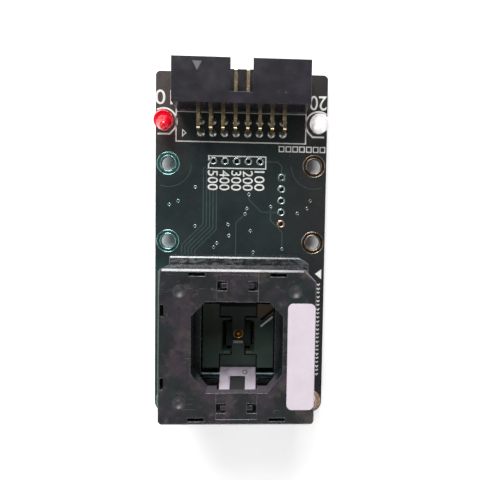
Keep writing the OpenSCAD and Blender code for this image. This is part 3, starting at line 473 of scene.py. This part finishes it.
# A lighter copy of the inner plastic: painted light, lifting the nest that lies in the socket's shade
NEST = moulding("nest_plastic", rgb(50, 65, 60), rgb(66, 81, 74), rgb(74, 84, 78), (0.34, 0.5),
                clouds=((4, 0.5, 0.7, rgb(62, 65, 54)),), dust=0.05, edge=0.06, scratch=0.2, level=0.2,
                rubbed=0.45, local=nest_places)
LATCH = moulding("latch_plastic", rgb(46, 57, 54), rgb(60, 70, 66), rgb(74, 84, 78), (0.34, 0.5),
                 dust=0.05, edge=0.06, scratch=0.2, level=0.2, rubbed=0.45, local=latch_places)
SILK = silk()
COPPER = masked_copper()
SOLDER = solder()
SLOT_OF = {row["node"]: row["material_slot"] for row in frame["record"]["subparts"]}
# Nodes whose finish differs from that of their slot
PAINTED_APART = {
    "nest": NEST, "latch_arm_north": LATCH, "latch_arm_south": LATCH,
    "contacts_north": CONTACT, "contacts_south": CONTACT,
    "contacts_east": CONTACT, "contacts_west": CONTACT,
    "ground_sleeve": PROBE, "ground_plunger": PROBE,
    "axle_north": AXLE, "axle_south": AXLE,
}


def paint(obj, material):
    """Gives an object this material alone."""
    obj.data.materials.clear()
    obj.data.materials.append(material)


def paint_nodes():
    """Each CAD node gets the material of its slot, or its own finish within the slot."""
    for name, obj in nodes.items():
        paint(obj, PAINTED_APART.get(name, MATERIALS[SLOT_OF[name]]))


# ---------- mesh helpers ----------


def placed(name, data):
    """A new object in the scene with this data."""
    obj = bpy.data.objects.new(name, data)
    bpy.context.scene.collection.objects.link(obj)
    return obj


def piece(name, mesh, material, body="adaptor", smooth=30):
    """A finished bmesh, in mm, as an object that rides on a body."""
    data = bpy.data.meshes.new(name)
    bmesh.ops.recalc_face_normals(mesh, faces=mesh.faces)
    mesh.to_mesh(data)
    mesh.free()
    data.transform(Matrix.Scale(MM, 4))
    data.polygons.foreach_set("use_smooth", [True] * len(data.polygons))
    data.set_sharp_from_angle(angle=math.radians(smooth))
    obj = placed(name, data)
    paint(obj, material)
    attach(obj, body)
    return obj


def copied(node):
    """A CAD node's mesh as a bmesh, in mm."""
    mesh = bmesh.new()
    mesh.from_mesh(nodes[node].data)
    bmesh.ops.scale(mesh, vec=(1 / MM,) * 3, verts=mesh.verts)
    return mesh


def made_real(maker):
    """The mesh that this object becomes, modifiers included. The object itself goes."""
    made = bpy.data.meshes.new_from_object(maker.evaluated_get(bpy.context.evaluated_depsgraph_get()))
    bpy.data.objects.remove(maker)
    return made


# Two measures in mm that differ by less than this are the same
SAME = 0.001
# How steeply the land of a north edge starts to fall, and how much it curves down over its width
LAND_SLOPE = 0.306
LAND_CURVE = 0.21


def slope_north_edge(mesh, width, edge):
    """Turns the fully rounded north edge, at edge's y and z, into a crowned land that slopes down."""
    for vert in mesh.verts:
        s = vert.co.y - edge.y + width
        drop = edge.z - vert.co.z
        if 0 < s < width + SAME and 0 < drop < width + SAME:
            s = min(s, width)
            circle = width - math.sqrt(width * width - s * s)
            land = LAND_SLOPE * s + LAND_CURVE * s * s / width
            vert.co.z = edge.z - max(drop - circle + land, min(drop, land))


def rounded(node, width, weigh, material, body, segments, north_edge=None):
    """Replaces a CAD node by a copy whose sharp edges are rounded over.

    weigh gives an edge's share of the width from its middle and its direction.
    """
    mesh = copied(node)
    bmesh.ops.remove_doubles(mesh, verts=mesh.verts, dist=SAME / 2)
    bmesh.ops.dissolve_limit(mesh, angle_limit=math.radians(0.4), verts=mesh.verts, edges=mesh.edges,
                             delimit={"NORMAL"})
    share = mesh.edges.layers.float.new("bevel_weight_edge")
    for edge in mesh.edges:
        if len(edge.link_faces) == 2 and edge.calc_face_angle_signed(0) > math.radians(40):
            middle = (edge.verts[0].co + edge.verts[1].co) / 2
            along = (edge.verts[1].co - edge.verts[0].co).normalized()
            edge[share] = weigh(middle, along)
    data = bpy.data.meshes.new(node + "_sharp")
    mesh.to_mesh(data)
    mesh.free()

    maker = placed(node + "_maker", data)
    bevel = maker.modifiers.new("rounding", "BEVEL")
    bevel.limit_method = "WEIGHT"
    bevel.width = width
    bevel.segments = segments
    bevel.use_clamp_overlap = False
    smooth = bmesh.new()
    smooth.from_mesh(made_real(maker))
    if north_edge:
        slope_north_edge(smooth, width, north_edge)
    made = piece(node + "_body", smooth, material, body, 28)
    made.modifiers.new("even_shading", "WEIGHTED_NORMAL").keep_sharp = True
    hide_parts(node)


def band(mesh, points, width, low, high, closed=False):
    """Adds a flat band of one width that follows points in the XY plane, with mitred corners."""
    count = len(points)
    sides = []
    for i, (x, y) in enumerate(points):
        here = Vector((x, y))
        before = Vector(points[i - 1]) if closed or i else None
        after = Vector(points[(i + 1) % count]) if closed or i < count - 1 else None
        first = (here - before).normalized() if before is not None else (after - here).normalized()
        last = (after - here).normalized() if after is not None else first
        across = Vector((-first.y - last.y, first.x + last.x)).normalized()
        reach = width / 2 / max(0.3, across.dot(Vector((-last.y, last.x))))
        sides.append((here + across * reach, here - across * reach))
    rings = [[mesh.verts.new((p.x, p.y, z)) for p, z in ((l, high), (r, high), (r, low), (l, low))]
             for l, r in sides]
    last_ring = count if closed else count - 1
    for i in range(last_ring):
        a, b = rings[i], rings[(i + 1) % count]
        for k in range(4):
            mesh.faces.new((a[k], a[(k + 1) % 4], b[(k + 1) % 4], b[k]))
    if not closed:
        mesh.faces.new(rings[0])
        mesh.faces.new(rings[-1][::-1])


def plate(mesh, points, low, high):
    """Adds a flat plate with this outline."""
    bottom = [mesh.verts.new((x, y, low)) for x, y in points]
    top = [mesh.verts.new((x, y, high)) for x, y in points]
    mesh.faces.new(bottom[::-1])
    mesh.faces.new(top)
    for i in range(len(points)):
        j = (i + 1) % len(points)
        mesh.faces.new((bottom[i], bottom[j], top[j], top[i]))


def arc(x, y, radius, start, end, steps):
    """Points along an arc, angles in degrees."""
    turn = [math.radians(start + (end - start) * i / steps) for i in range(steps + 1)]
    return [(x + radius * math.cos(a), y + radius * math.sin(a)) for a in turn]


# How far solder is out of round, as a share of its radius
WOBBLE = 0.03


def lathe(mesh, x, y, profile, steps):
    """Turns a profile of (radius, z) points about an upright line, a little out of round."""
    rings = []
    phase = rng.random() * 6
    for radius, z in profile:
        ring = []
        for i in range(steps):
            a = 2 * math.pi * i / steps
            r = radius * (1 + WOBBLE * math.sin(2 * a + phase) + WOBBLE * 0.6 * math.sin(3 * a + 2 * phase))
            ring.append(mesh.verts.new((x + r * math.cos(a), y + r * math.sin(a), z)))
        rings.append(ring)
    for a, b in zip(rings, rings[1:]):
        for i in range(steps):
            j = (i + 1) % steps
            mesh.faces.new((a[i], a[j], b[j], b[i]))
    mesh.faces.new(rings[0][::-1])
    mesh.faces.new(rings[-1])


def hoop(mesh, x, y, profile, steps=32, place=None):
    """Turns a closed profile of (radius, z) points about an upright line, into a ring."""
    rings = []
    for i in range(steps):
        a = 2 * math.pi * i / steps
        points = [Vector((x + r * math.cos(a), y + r * math.sin(a), z)) for r, z in profile]
        rings.append([mesh.verts.new(place @ p if place else p) for p in points])
    count = len(profile)
    for i in range(steps):
        a, b = rings[i], rings[(i + 1) % steps]
        for k in range(count):
            m = (k + 1) % count
            mesh.faces.new((a[k], b[k], b[m], a[m]))


# ---------- what is printed on the board ----------

SILK_H = 0.02
SILK_LOW = TOP - 0.005
SILK_TOP = TOP + SILK_H


def stroke(mesh, points, width, closed=False):
    """Adds a printed line."""
    band(mesh, points, width, SILK_LOW, SILK_TOP, closed)


def numeral(text, x, y, length, height, turn, name):
    """A plain printed number of this size, its middle at x, y, turned by an angle in degrees."""
    curve = bpy.data.curves.new(name, "FONT")
    curve.body = text
    curve.size = 1
    curve.offset = 0.004
    curve.extrude = SILK_H / 2 * MM
    data = made_real(placed(name, curve))
    xs = [v.co.x for v in data.vertices]
    ys = [v.co.y for v in data.vertices]
    fit = Matrix.Diagonal((length * MM / (max(xs) - min(xs)), height * MM / (max(ys) - min(ys)), 1, 1))
    centre = Matrix.Translation((-(max(xs) + min(xs)) / 2, -(max(ys) + min(ys)) / 2, 0))
    data.transform(Matrix.Translation((x * MM, y * MM, (TOP + SILK_H / 2) * MM))
                   @ Matrix.Rotation(math.radians(turn), 4, "Z") @ fit @ centre)
    obj = placed(name, data)
    paint(obj, SILK)
    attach(obj, "adaptor")


def outline_of_header():
    """The header's outline, open under its shroud, and the first-pin triangle beside it."""
    mesh = bmesh.new()
    west, east = PIN_XS[0] - 5.35, PIN_XS[-1] + 5.02
    south, north = FAR_ROW_Y - 1.92, SHROUD_LOW.y + 0.45
    stroke(mesh, [(west, north), (west, south), (east, south), (east, north)], 0.24)
    by_shroud = SHROUD_LOW.y - 0.14
    stroke(mesh, [(west, by_shroud), (east, by_shroud)], 0.15)
    x, y = PIN_XS[0] - 3.95, FAR_ROW_Y - 0.1
    stroke(mesh, [(x, y + 0.68), (x, y - 0.68), (x + 0.72, y)], 0.2, True)
    piece("silk_header", mesh, SILK)


def frame_of_row():
    """The box around the five-pad row, with a broken corner at its first pad."""
    mesh = bmesh.new()
    x0, x1 = ROW_LOW.x - 0.2, ROW_HIGH.x + 0.4
    y0, y1 = ROW_Y - 1.55, ROW_Y + 1.05
    stroke(mesh, [(x0 + 0.35, y1 - 0.45), (x0, y1 - 0.8), (x0, y1), (x1, y1), (x1, y0), (x0, y0),
                  (x0, y0 + 0.8), (x0 + 0.35, y0 + 1.15)], 0.24)
    piece("silk_row_frame", mesh, SILK)


def ring_of_lamp(name, x, side):
    """The thick ring around a lamp's foot, with a flat to the south, cut off by the board's edge."""
    mesh = bmesh.new()
    y = LAMP_Y - 0.12
    radius, flat, flat_y = 2.8, 1.28, 2.7
    limit = BOARD_HIGH.x - 0.14
    shape = arc(x, y, radius, -47, 227, 80) + [(x - flat, y - flat_y), (x + flat, y - flat_y)]
    inside = [abs(p[0]) < limit for p in shape]
    start = next(i for i in range(len(shape)) if not inside[i] and inside[(i + 1) % len(shape)])
    beyond = (side * 99, 0)
    run = []
    for p in shape[start + 1:] + shape[:start + 1] + [beyond]:
        if abs(p[0]) < limit:
            run.append(p)
        elif len(run) > 2:
            stroke(mesh, run, 0.36)
            run = []
    piece(name, mesh, SILK)


def marks_by_socket():
    """The filled first-pin arrow by the socket and the column of small ticks below it."""
    mesh = bmesh.new()
    x = BASE_HIGH.x + 3.35
    y = BASE_HIGH.y - 4.3
    plate(mesh, [(x - 0.85, y), (x + 0.55, y - 1.15), (x + 0.55, y + 1.05)], SILK_LOW, SILK_TOP)
    tick_x = BASE_HIGH.x + 3.3
    for i in range(23):
        tick_y = y - 2.3 - i * 0.92
        lean = 0.2 + 0.1 * math.sin(2.3 * i)
        stroke(mesh, [(tick_x - 0.3, tick_y + 0.05 * (i % 3)), (tick_x, tick_y - lean),
                      (tick_x + 0.32, tick_y + 0.1)], 0.26)
    piece("silk_socket_marks", mesh, SILK)


def boxes_for_date():
    """A short row of small empty boxes, as boards have for a pen mark."""
    mesh = bmesh.new()
    y = FAR_ROW_Y - 3.15
    across, along = 0.52, 0.55
    for i in range(7):
        x = HOLE_X - 7.2 + i * 1.5
        stroke(mesh, [(x - across, y - along), (x + across, y - along), (x + across, y + along),
                      (x - across, y + along)], 0.22, True)
    piece("silk_pen_boxes", mesh, SILK)


def printed_numbers():
    """Plain numbers by the five pads and the lamps, printed to be read from the header's end."""
    for i in range(PADS):
        x = ROW_X + (2 - i) * PITCH - 0.1
        numeral(f"{i + 1}00", x, ROW_Y - 4.2, 4.3, 2.2, -90, f"silk_row_number_{i + 1}")
    numeral("10", -LAMP_X - 0.15, LAMP_Y + 5.0, 3.7, 3.1, 180, "silk_lamp_number_1")
    numeral("20", LAMP_X - 0.15, LAMP_Y + 4.55, 3.7, 3.1, 180, "silk_lamp_number_2")


# ---------- copper under the mask ----------

COPPER_TOP = TOP + 0.012
BEHIND_BASE_Y = BASE_HIGH.y - 0.5


def track(mesh, points, width):
    """Adds a track under the mask of the board's top."""
    band(mesh, points, width, SILK_LOW, COPPER_TOP)


def masked_tracks():
    """Tracks from the pad row and column, and the keep-out arcs round the upper holes."""
    mesh = bmesh.new()
    # Five tracks run south from the row and turn to the south-west
    for i in range(PADS):
        x = ROW_LOW.x - 1.3 + i * 0.72
        turn_y = 13.2 - i * 0.3
        shift = 4.6
        track(mesh, [(x + 0.4, ROW_LOW.y - 0.4), (x, ROW_LOW.y - 0.9), (x, turn_y),
                     (x - shift, turn_y - shift), (x - shift, BEHIND_BASE_Y)], 0.2)
    # From the row to the column, and from its fourth pad to a via
    corner = 0.9
    track(mesh, [(ROW_HIGH.x, ROW_Y), (COLUMN_X - corner, ROW_Y), (COLUMN_X, ROW_Y - corner),
                 (COLUMN_X, COLUMN_Y)], 0.22)
    fourth = COLUMN_Y - 3 * PITCH
    track(mesh, [(1.7, 19.8), (1.7, 18.7), (4.4, fourth), (COLUMN_X - PAD_R, fourth)], 0.22)
    # Between vias
    track(mesh, [(1.3, 16.7), (0.9, 15.5), (-1.1, 13.5), (-1.1, BEHIND_BASE_Y)], 0.2)
    track(mesh, [(6.5, 17.2), (6.5, 14.2), (9.1, 11.6), (9.1, 7.9)], 0.2)
    for side, start, end in ((-1, 250, 360), (1, 180, 290)):
        track(mesh, arc(side * HOLE_X, HOLE_Y, 5.0, start, end, 30), 0.16)
    piece("masked_tracks", mesh, COPPER)


def crown(inner, outer, roll, height, up):
    """The profile of a plated ring whose two rims are rolled over."""
    face = TOP + PLATING if up > 0 else UNDER - PLATING
    low = face - up * 0.02
    high = face + up * height
    middle = face + up * height * 0.7
    return [(inner + 0.01, low), (inner + 0.01, face), (inner + roll * 0.35, middle), (inner + roll, high),
            (outer - roll, high), (outer - roll * 0.35, middle), (outer - 0.01, face), (outer - 0.01, low)]


def rolled_rims():
    """Narrow bright beads at the rims of the mounting rings and of the unfitted connectors' pads."""
    mesh = bmesh.new()
    bead = 0.2
    for up in (1, -1):
        for x in (-HOLE_X, HOLE_X):
            for y in HOLE_YS:
                hoop(mesh, x, y, crown(HOLE_R, HOLE_R + bead, 0.09, 0.06, up), 64)
                hoop(mesh, x, y, crown(RING_R - bead, RING_R, 0.09, 0.06, up), 64)
        pads = [(ROW_X + (i - 2) * PITCH, ROW_Y, PAD_R) for i in range(PADS)]
        # The column's first pad is square, so its bead is a little smaller
        pads += [(COLUMN_X, COLUMN_Y - i * PITCH, PAD_R if i else PAD_R * 0.92) for i in range(PADS)]
        for x, y, outer in pads:
            hoop(mesh, x, y, crown(outer - 0.26, outer, 0.1, 0.05, up))
            hoop(mesh, x, y, crown(0.5, 0.62, 0.05, 0.04, up))
    piece("rolled_rims", mesh, RIM, smooth=70)


def via_rims():
    """The raised rim of copper around each small via."""
    mesh = bmesh.new()
    for x, y in VIAS:
        hoop(mesh, x, y, [(0.19, TOP), (0.24, TOP + 0.05), (0.3, TOP + 0.06), (0.38, TOP + 0.02),
                          (0.38, TOP - 0.01), (0.19, TOP - 0.01)], 20)
    piece("via_rims", mesh, RIM, smooth=70)


def underside_tracks():
    """Tracks on the underside, from the socket's tails to the header's two rows."""
    mesh = bmesh.new()
    low, high = UNDER - 0.012, UNDER + 0.005
    end_y = SOCKET_Y + 8.5
    for i, x in enumerate(PIN_XS):
        lane = -9.8 + i * 2.8
        turn_y = FAR_ROW_Y - 4
        band(mesh, [(x, FAR_ROW_Y), (x, turn_y), (lane, turn_y - abs(x - lane)), (lane, end_y)],
             0.24, low, high)
        # From the near row, out between two pins of the far row
        between, lane, turn_y = x + PITCH / 2, lane + 1.2, FAR_ROW_Y - 3.2
        band(mesh, [(x + 0.9, NEAR_ROW_Y - 1.2), (between, NEAR_ROW_Y - 1.6), (between, turn_y),
                    (lane, turn_y - abs(between - lane)), (lane, end_y)], 0.24, low, high)
    for side in (-1, 1):
        band(mesh, [(side * LAMP_X, LAMP_YS[0]), (side * LAMP_X, 30.6), (side * 13.2, 29.5)],
             0.3, low, high)
    piece("underside_tracks", mesh, COPPER)


# ---------- solder ----------


def fillet(pad_r, pin_r, height, base, up):
    """The profile of a concave solder fillet from a pad's rim up to a pin's side."""
    profile = []
    for i in range(8):
        t = i / 7
        radius = pin_r + (pad_r - pin_r) * (1 - t) ** 2.2
        profile.append((radius, base + up * height * (t ** 0.8)))
    return [(pad_r * 0.98, base - up * 0.02)] + profile


def solder_joints():
    """Fillets over and under the header's pins, and under the lamps' leads and the socket's tails."""
    header, lamps, socket = bmesh.new(), bmesh.new(), bmesh.new()
    over, under = TOP + PLATING, UNDER - PLATING
    rim = PAD_R - 0.04
    for y in (FAR_ROW_Y, NEAR_ROW_Y):
        for x in PIN_XS:
            lathe(header, x, y, fillet(rim, PIN_W * 0.56, 0.62, over, 1), 24)
            lathe(header, x, y, fillet(rim, PIN_W * 0.56, 0.9, under, -1), 24)
    for side in (-1, 1):
        for y in LAMP_YS:
            lathe(lamps, side * LAMP_X, y, fillet(rim, LEAD_R * 1.1, 0.9, under, -1), 24)
    for turn in range(4):
        for i in range(CONTACTS):
            along = Vector((TAIL_ROWS[i % 3], (i - (CONTACTS - 1) / 2) * CONTACT_PITCH))
            spot = Matrix.Rotation(turn * math.pi / 2, 2) @ along
            lathe(socket, spot.x, spot.y + SOCKET_Y, fillet(0.42, 0.19, 0.75, under, -1), 14)
    lathe(socket, 0, SOCKET_Y, fillet(rim, 0.33, 0.8, under, -1), 24)
    for name, mesh in (("header_solder", header), ("lamp_solder", lamps), ("socket_solder", socket)):
        made = piece(name + "_fillets", mesh, SOLDER, smooth=60)
        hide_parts(name)


# ---------- small things in the socket and on the header ----------


def punch_mark():
    """The round punch mark on the south latch's face plate."""
    polygons = nodes["latch_plate_south"].data.polygons
    face = max((f for f in polygons if min(f.normal.y, f.normal.z) > 0.2), key=lambda f: f.area)
    low, high = [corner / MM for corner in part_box("latch_plate_south")]
    on_plane, normal = face.center / MM, face.normal
    spot = Vector((1.4, high.y - 0.22 * (high.y - low.y), 0))
    slope = normal.x * (spot.x - on_plane.x) + normal.y * (spot.y - on_plane.y)
    spot.z = on_plane.z - slope / normal.z
    turn = Vector((0, 0, 1)).rotation_difference(normal).to_matrix().to_4x4()
    mesh = bmesh.new()
    hoop(mesh, 0, 0, [(0.3, -0.02), (0.36, 0.04), (0.46, 0.045), (0.52, -0.02)], 28,
         Matrix.Translation(spot) @ turn)
    piece("punch_mark", mesh, AXLE, "latch_south", 70)


def nose_pad():
    """The ground steel pad at the tip of the south latch's nose."""
    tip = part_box("latch_arm_south")[1].y / MM
    top = SEAT_Z + 1.6
    across = 0.95
    profile = [(tip - 0.55, top - 0.03), (tip - 0.5, top + 0.05), (tip - 0.1, top + 0.03),
               (tip + 0.02, top - 0.1), (tip + 0.02, top - 0.5), (tip - 0.06, top - 0.5)]
    mesh = bmesh.new()
    sides = [[mesh.verts.new((x, y, z)) for y, z in profile] for x in (-across, across)]
    mesh.faces.new(sides[0])
    mesh.faces.new(sides[1][::-1])
    for i in range(len(profile)):
        j = (i + 1) % len(profile)
        mesh.faces.new((sides[0][i], sides[1][i], sides[1][j], sides[0][j]))
    piece("nose_pad_south", mesh, MATERIALS["lead_steel"], "latch_south", 20)


def index_rib_cap():
    """A pale crest on the index rib that points to the first-pin corner: a painted highlight on its edge."""
    start, turn, length = Vector((4.35, 1.95 + SOCKET_Y)), math.radians(40), 3.1
    along = Vector((math.cos(turn), math.sin(turn)))
    crest, inset = NEST_TOP + 0.28, 0.02
    mesh = bmesh.new()
    band(mesh, [tuple(start + along * inset), tuple(start + along * (length - inset))],
         0.34, crest, crest + 0.06)
    piece("index_rib_cap", mesh, PAINTED_RIB_HIGHLIGHT)


def first_pin_inlay():
    """The pale triangle moulded into the header's top face by its first pin."""
    mesh = bmesh.new()
    x, y, z = PIN_XS[0], SHROUD_HIGH.y - 0.8, SHROUD_HIGH.z
    plate(mesh, [(x - 0.96, y - 0.02), (x, y - 1.96), (x + 0.96, y - 0.02)], z - 0.14, z - 0.05)
    piece("first_pin_inlay", mesh, MARK)


# ---------- springs ----------


def shortening_springs():
    """Copies of the CAD springs' coils, each riding on the body that its joint moves."""
    for joint in frame["joints"]:
        for row in joint.get("deforming_nodes") or []:
            node = row["node"]
            coil = piece(node + "_coil", copied(node), MATERIALS["spring_steel"], joint["child"],
                         60)
            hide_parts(node)
            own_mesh(coil)


# ---------- rounded mouldings ----------


def flat(along):
    """Whether an edge with this direction is level."""
    return abs(along.z) < 0.1


def upright(along):
    """Whether an edge with this direction is upright."""
    return abs(along.z) > 0.99


def near(a, b):
    """Whether two measures in mm are the same, for finding edges."""
    return abs(a - b) < 0.02


def cover_share(middle, along):
    """The cover's rounding: full on the north edge of its top, slight on its other outer edges."""
    half, slight = COVER_HIGH.x, 0.42
    y = middle.y - SOCKET_Y
    inner, outer = sorted((abs(middle.x), abs(y)))
    corner = middle.x + y > 2 * half - 2.6
    if near(middle.z, COVER_HIGH.z) and flat(along) and (outer > half - 0.3 or corner):
        return 1 if y > half - 1.6 else slight
    return slight if upright(along) and inner > 11 and outer > half - 0.9 else 0


def base_share(middle, along):
    """The base's rounding: full on the north edge of its ledge, half on its other outer edges."""
    half_y = BASE_HIGH.y - SOCKET_Y
    y = middle.y - SOCKET_Y
    outer = abs(middle.x) > BASE_HIGH.x - 0.05 or abs(y) > half_y - 0.05
    outer = outer or middle.x + y > BASE_HIGH.x + half_y - 2.4
    if near(middle.z, LEDGE_Z) and flat(along) and outer:
        return 1 if middle.y > BASE_HIGH.y - 2.6 else 0.5
    return 0.5 if upright(along) and outer and middle.z > TOP + 1 else 0


def shroud_share(middle, _):
    """The shroud's rounding: on its two ends and the back edge of its top."""
    ends = near(abs(middle.x), SHROUD_HIGH.x) and middle.z > TOP + 0.5
    back_top = near(middle.y, SHROUD_LOW.y) and middle.z > SHROUD_HIGH.z - 0.02
    return 1 if ends or back_top else 0


def rounded_mouldings():
    """The header's shroud, the socket's base and the cover, with their outer edges rounded."""
    worn = moulding("cover_plastic", rgb(28, 31, 33), rgb(42, 44, 47), rgb(140, 136, 142), (0.16, 0.3),
                    clouds=((6, 0.46, 0.6, PURPLE), (3.2, 0.55, 0.68, rgb(74, 68, 64)),
                            (1.3, 0.6, 0.72, rgb(80, 74, 78)), (2.2, 0.56, 0.7, rgb(22, 26, 27)),
                            (9, 0.56, 0.68, rgb(32, 42, 42))),
                    dust=0.16, edge=0.14, level=0.9, local=cover_places)
    rounded("cover", 0.56, cover_share, worn, "cover", 6, COVER_HIGH)
    rounded("socket_base", 0.42, base_share, LEDGE, "adaptor", 6, Vector((0, BASE_HIGH.y, LEDGE_Z)))
    rounded("header_shroud", 0.12, shroud_share, MATERIALS["header_plastic"], "adaptor", 2)


# ---------- camera, lights and floor ----------

IMAGE_PX = 480
# The lens, in pixels, and where its axis meets the picture
FOCAL_PX = 494.0
PRINCIPAL = (272.6, 245.0)
# The camera's turn in degrees and its place in mm
TILT = (3.153, 2.607, -0.939)
EYE = Vector((2.01, 14.69, 110.47))
# What the lights point at, in metres
AIM = Vector((0, 0, 0.01))
FLOOR_GLOW = 0.4


def camera():
    """The photograph's view: from above the board, a little to its north, through a shifted lens."""
    data = bpy.data.cameras.new("camera")
    cam = placed("camera", data)
    data.sensor_width = 36
    data.lens = FOCAL_PX / IMAGE_PX * data.sensor_width
    data.shift_x = (IMAGE_PX / 2 - PRINCIPAL[0]) / IMAGE_PX
    data.shift_y = (PRINCIPAL[1] - IMAGE_PX / 2) / IMAGE_PX
    data.clip_start = 0.005
    data.clip_end = 20
    turn = Matrix.Identity(3)
    for angle, axis in zip(TILT, "XYZ"):
        turn = turn @ Matrix.Rotation(math.radians(angle), 3, axis)
    cam.matrix_world = Matrix.Translation(EYE * MM) @ turn.transposed().to_4x4()
    bpy.context.scene.camera = cam


def area_light(name, place, size, power):
    """A white soft box of this size in metres and power in watts."""
    data = bpy.data.lights.new(name, "AREA")
    data.shape = "RECTANGLE"
    data.size, data.size_y = size
    data.energy = power
    light = placed(name, data)
    light.location = place
    light.rotation_euler = (AIM - Vector(place)).to_track_quat("-Z", "Y").to_euler()


def lights():
    """A soft box to the north and weak fill from the other sides."""
    area_light("north_box", (-0.07, 0.33, 0.25), (0.24, 0.3), 2.15)
    area_light("west_fill", (-0.3, 0.0, 0.26), (0.2, 0.2), 0.2)
    area_light("south_fill", (0.0, -0.34, 0.27), (0.2, 0.12), 0.42)
    area_light("east_fill", (0.28, -0.16, 0.2), (0.16, 0.16), 0.15)


def sky():
    """A white sky, bright at its rim and dim overhead."""
    world = bpy.data.worlds.new("sky")
    bpy.context.scene.world = world
    world.use_nodes = True
    tree = world.node_tree
    background = tree.nodes["Background"]
    place = tree.nodes.new("ShaderNodeTexCoord")
    height = tree.nodes.new("ShaderNodeSeparateXYZ")
    ramp = tree.nodes.new("ShaderNodeMapRange")
    for name, value in (("From Min", 0.1), ("From Max", 0.8), ("To Min", 0.6), ("To Max", 0.1)):
        ramp.inputs[name].default_value = value
    tree.links.new(place.outputs["Generated"], height.inputs[0])
    tree.links.new(height.outputs[2], ramp.inputs[0])
    tree.links.new(ramp.outputs[0], background.inputs["Strength"])
    background.inputs["Color"].default_value = (1, 1, 1, 1)


def glow(g):
    """How much the floor glows: only where it is seen, and not underneath the board, which leaves painted shade
    there.
    """
    path = g.node("LightPath").outputs
    mirrored = g.maths("MAXIMUM", path["Is Glossy Ray"], path["Is Transmission Ray"])
    seen = g.maths("MAXIMUM", path["Is Camera Ray"], mirrored)
    middle = (cad_low + cad_high) / 2
    fade = 3 * MM
    beside = 0.0
    for axis, coordinate in enumerate(g.axes()[:2]):
        away = g.maths("ABSOLUTE", g.maths("SUBTRACT", coordinate, middle[axis]))
        past = g.maths("SUBTRACT", away, (cad_high[axis] - cad_low[axis]) / 2 - fade)
        share = g.maths("MINIMUM", g.maths("MAXIMUM", g.maths("DIVIDE", past, fade), 0.0), 1.0)
        beside = g.maths("MAXIMUM", share, beside)
    return g.maths("MULTIPLY", g.both(seen, beside), FLOOR_GLOW)


def floor():
    """A plain pale floor just under the part."""
    reach = 2.0
    level = cad_low.z - 0.02 * MM
    data = bpy.data.meshes.new("floor")
    data.from_pydata([(-reach, -reach, level), (reach, -reach, level), (reach, reach, level),
                      (-reach, reach, level)], [], [(0, 1, 2, 3)])
    g = Graph("floor")
    g.set(g.shader.inputs["Emission Strength"], glow(g))
    g.finish((0.9, 0.9, 0.9, 1), 0.9, Specular_IOR_Level=0, Emission_Color=(1, 1, 1, 1))
    data.materials.append(g.material)
    placed("floor", data)


camera()
lights()
sky()
floor()
bpy.context.scene.view_settings.view_transform = "Standard"
paint_nodes()
outline_of_header()
frame_of_row()
ring_of_lamp("silk_lamp_ring_west", -LAMP_X - 0.22, -1)
ring_of_lamp("silk_lamp_ring_east", LAMP_X, 1)
marks_by_socket()
boxes_for_date()
printed_numbers()
masked_tracks()
via_rims()
rolled_rims()
underside_tracks()
solder_joints()
rounded_mouldings()
punch_mark()
nose_pad()
index_rib_cap()
first_pin_inlay()
shortening_springs()
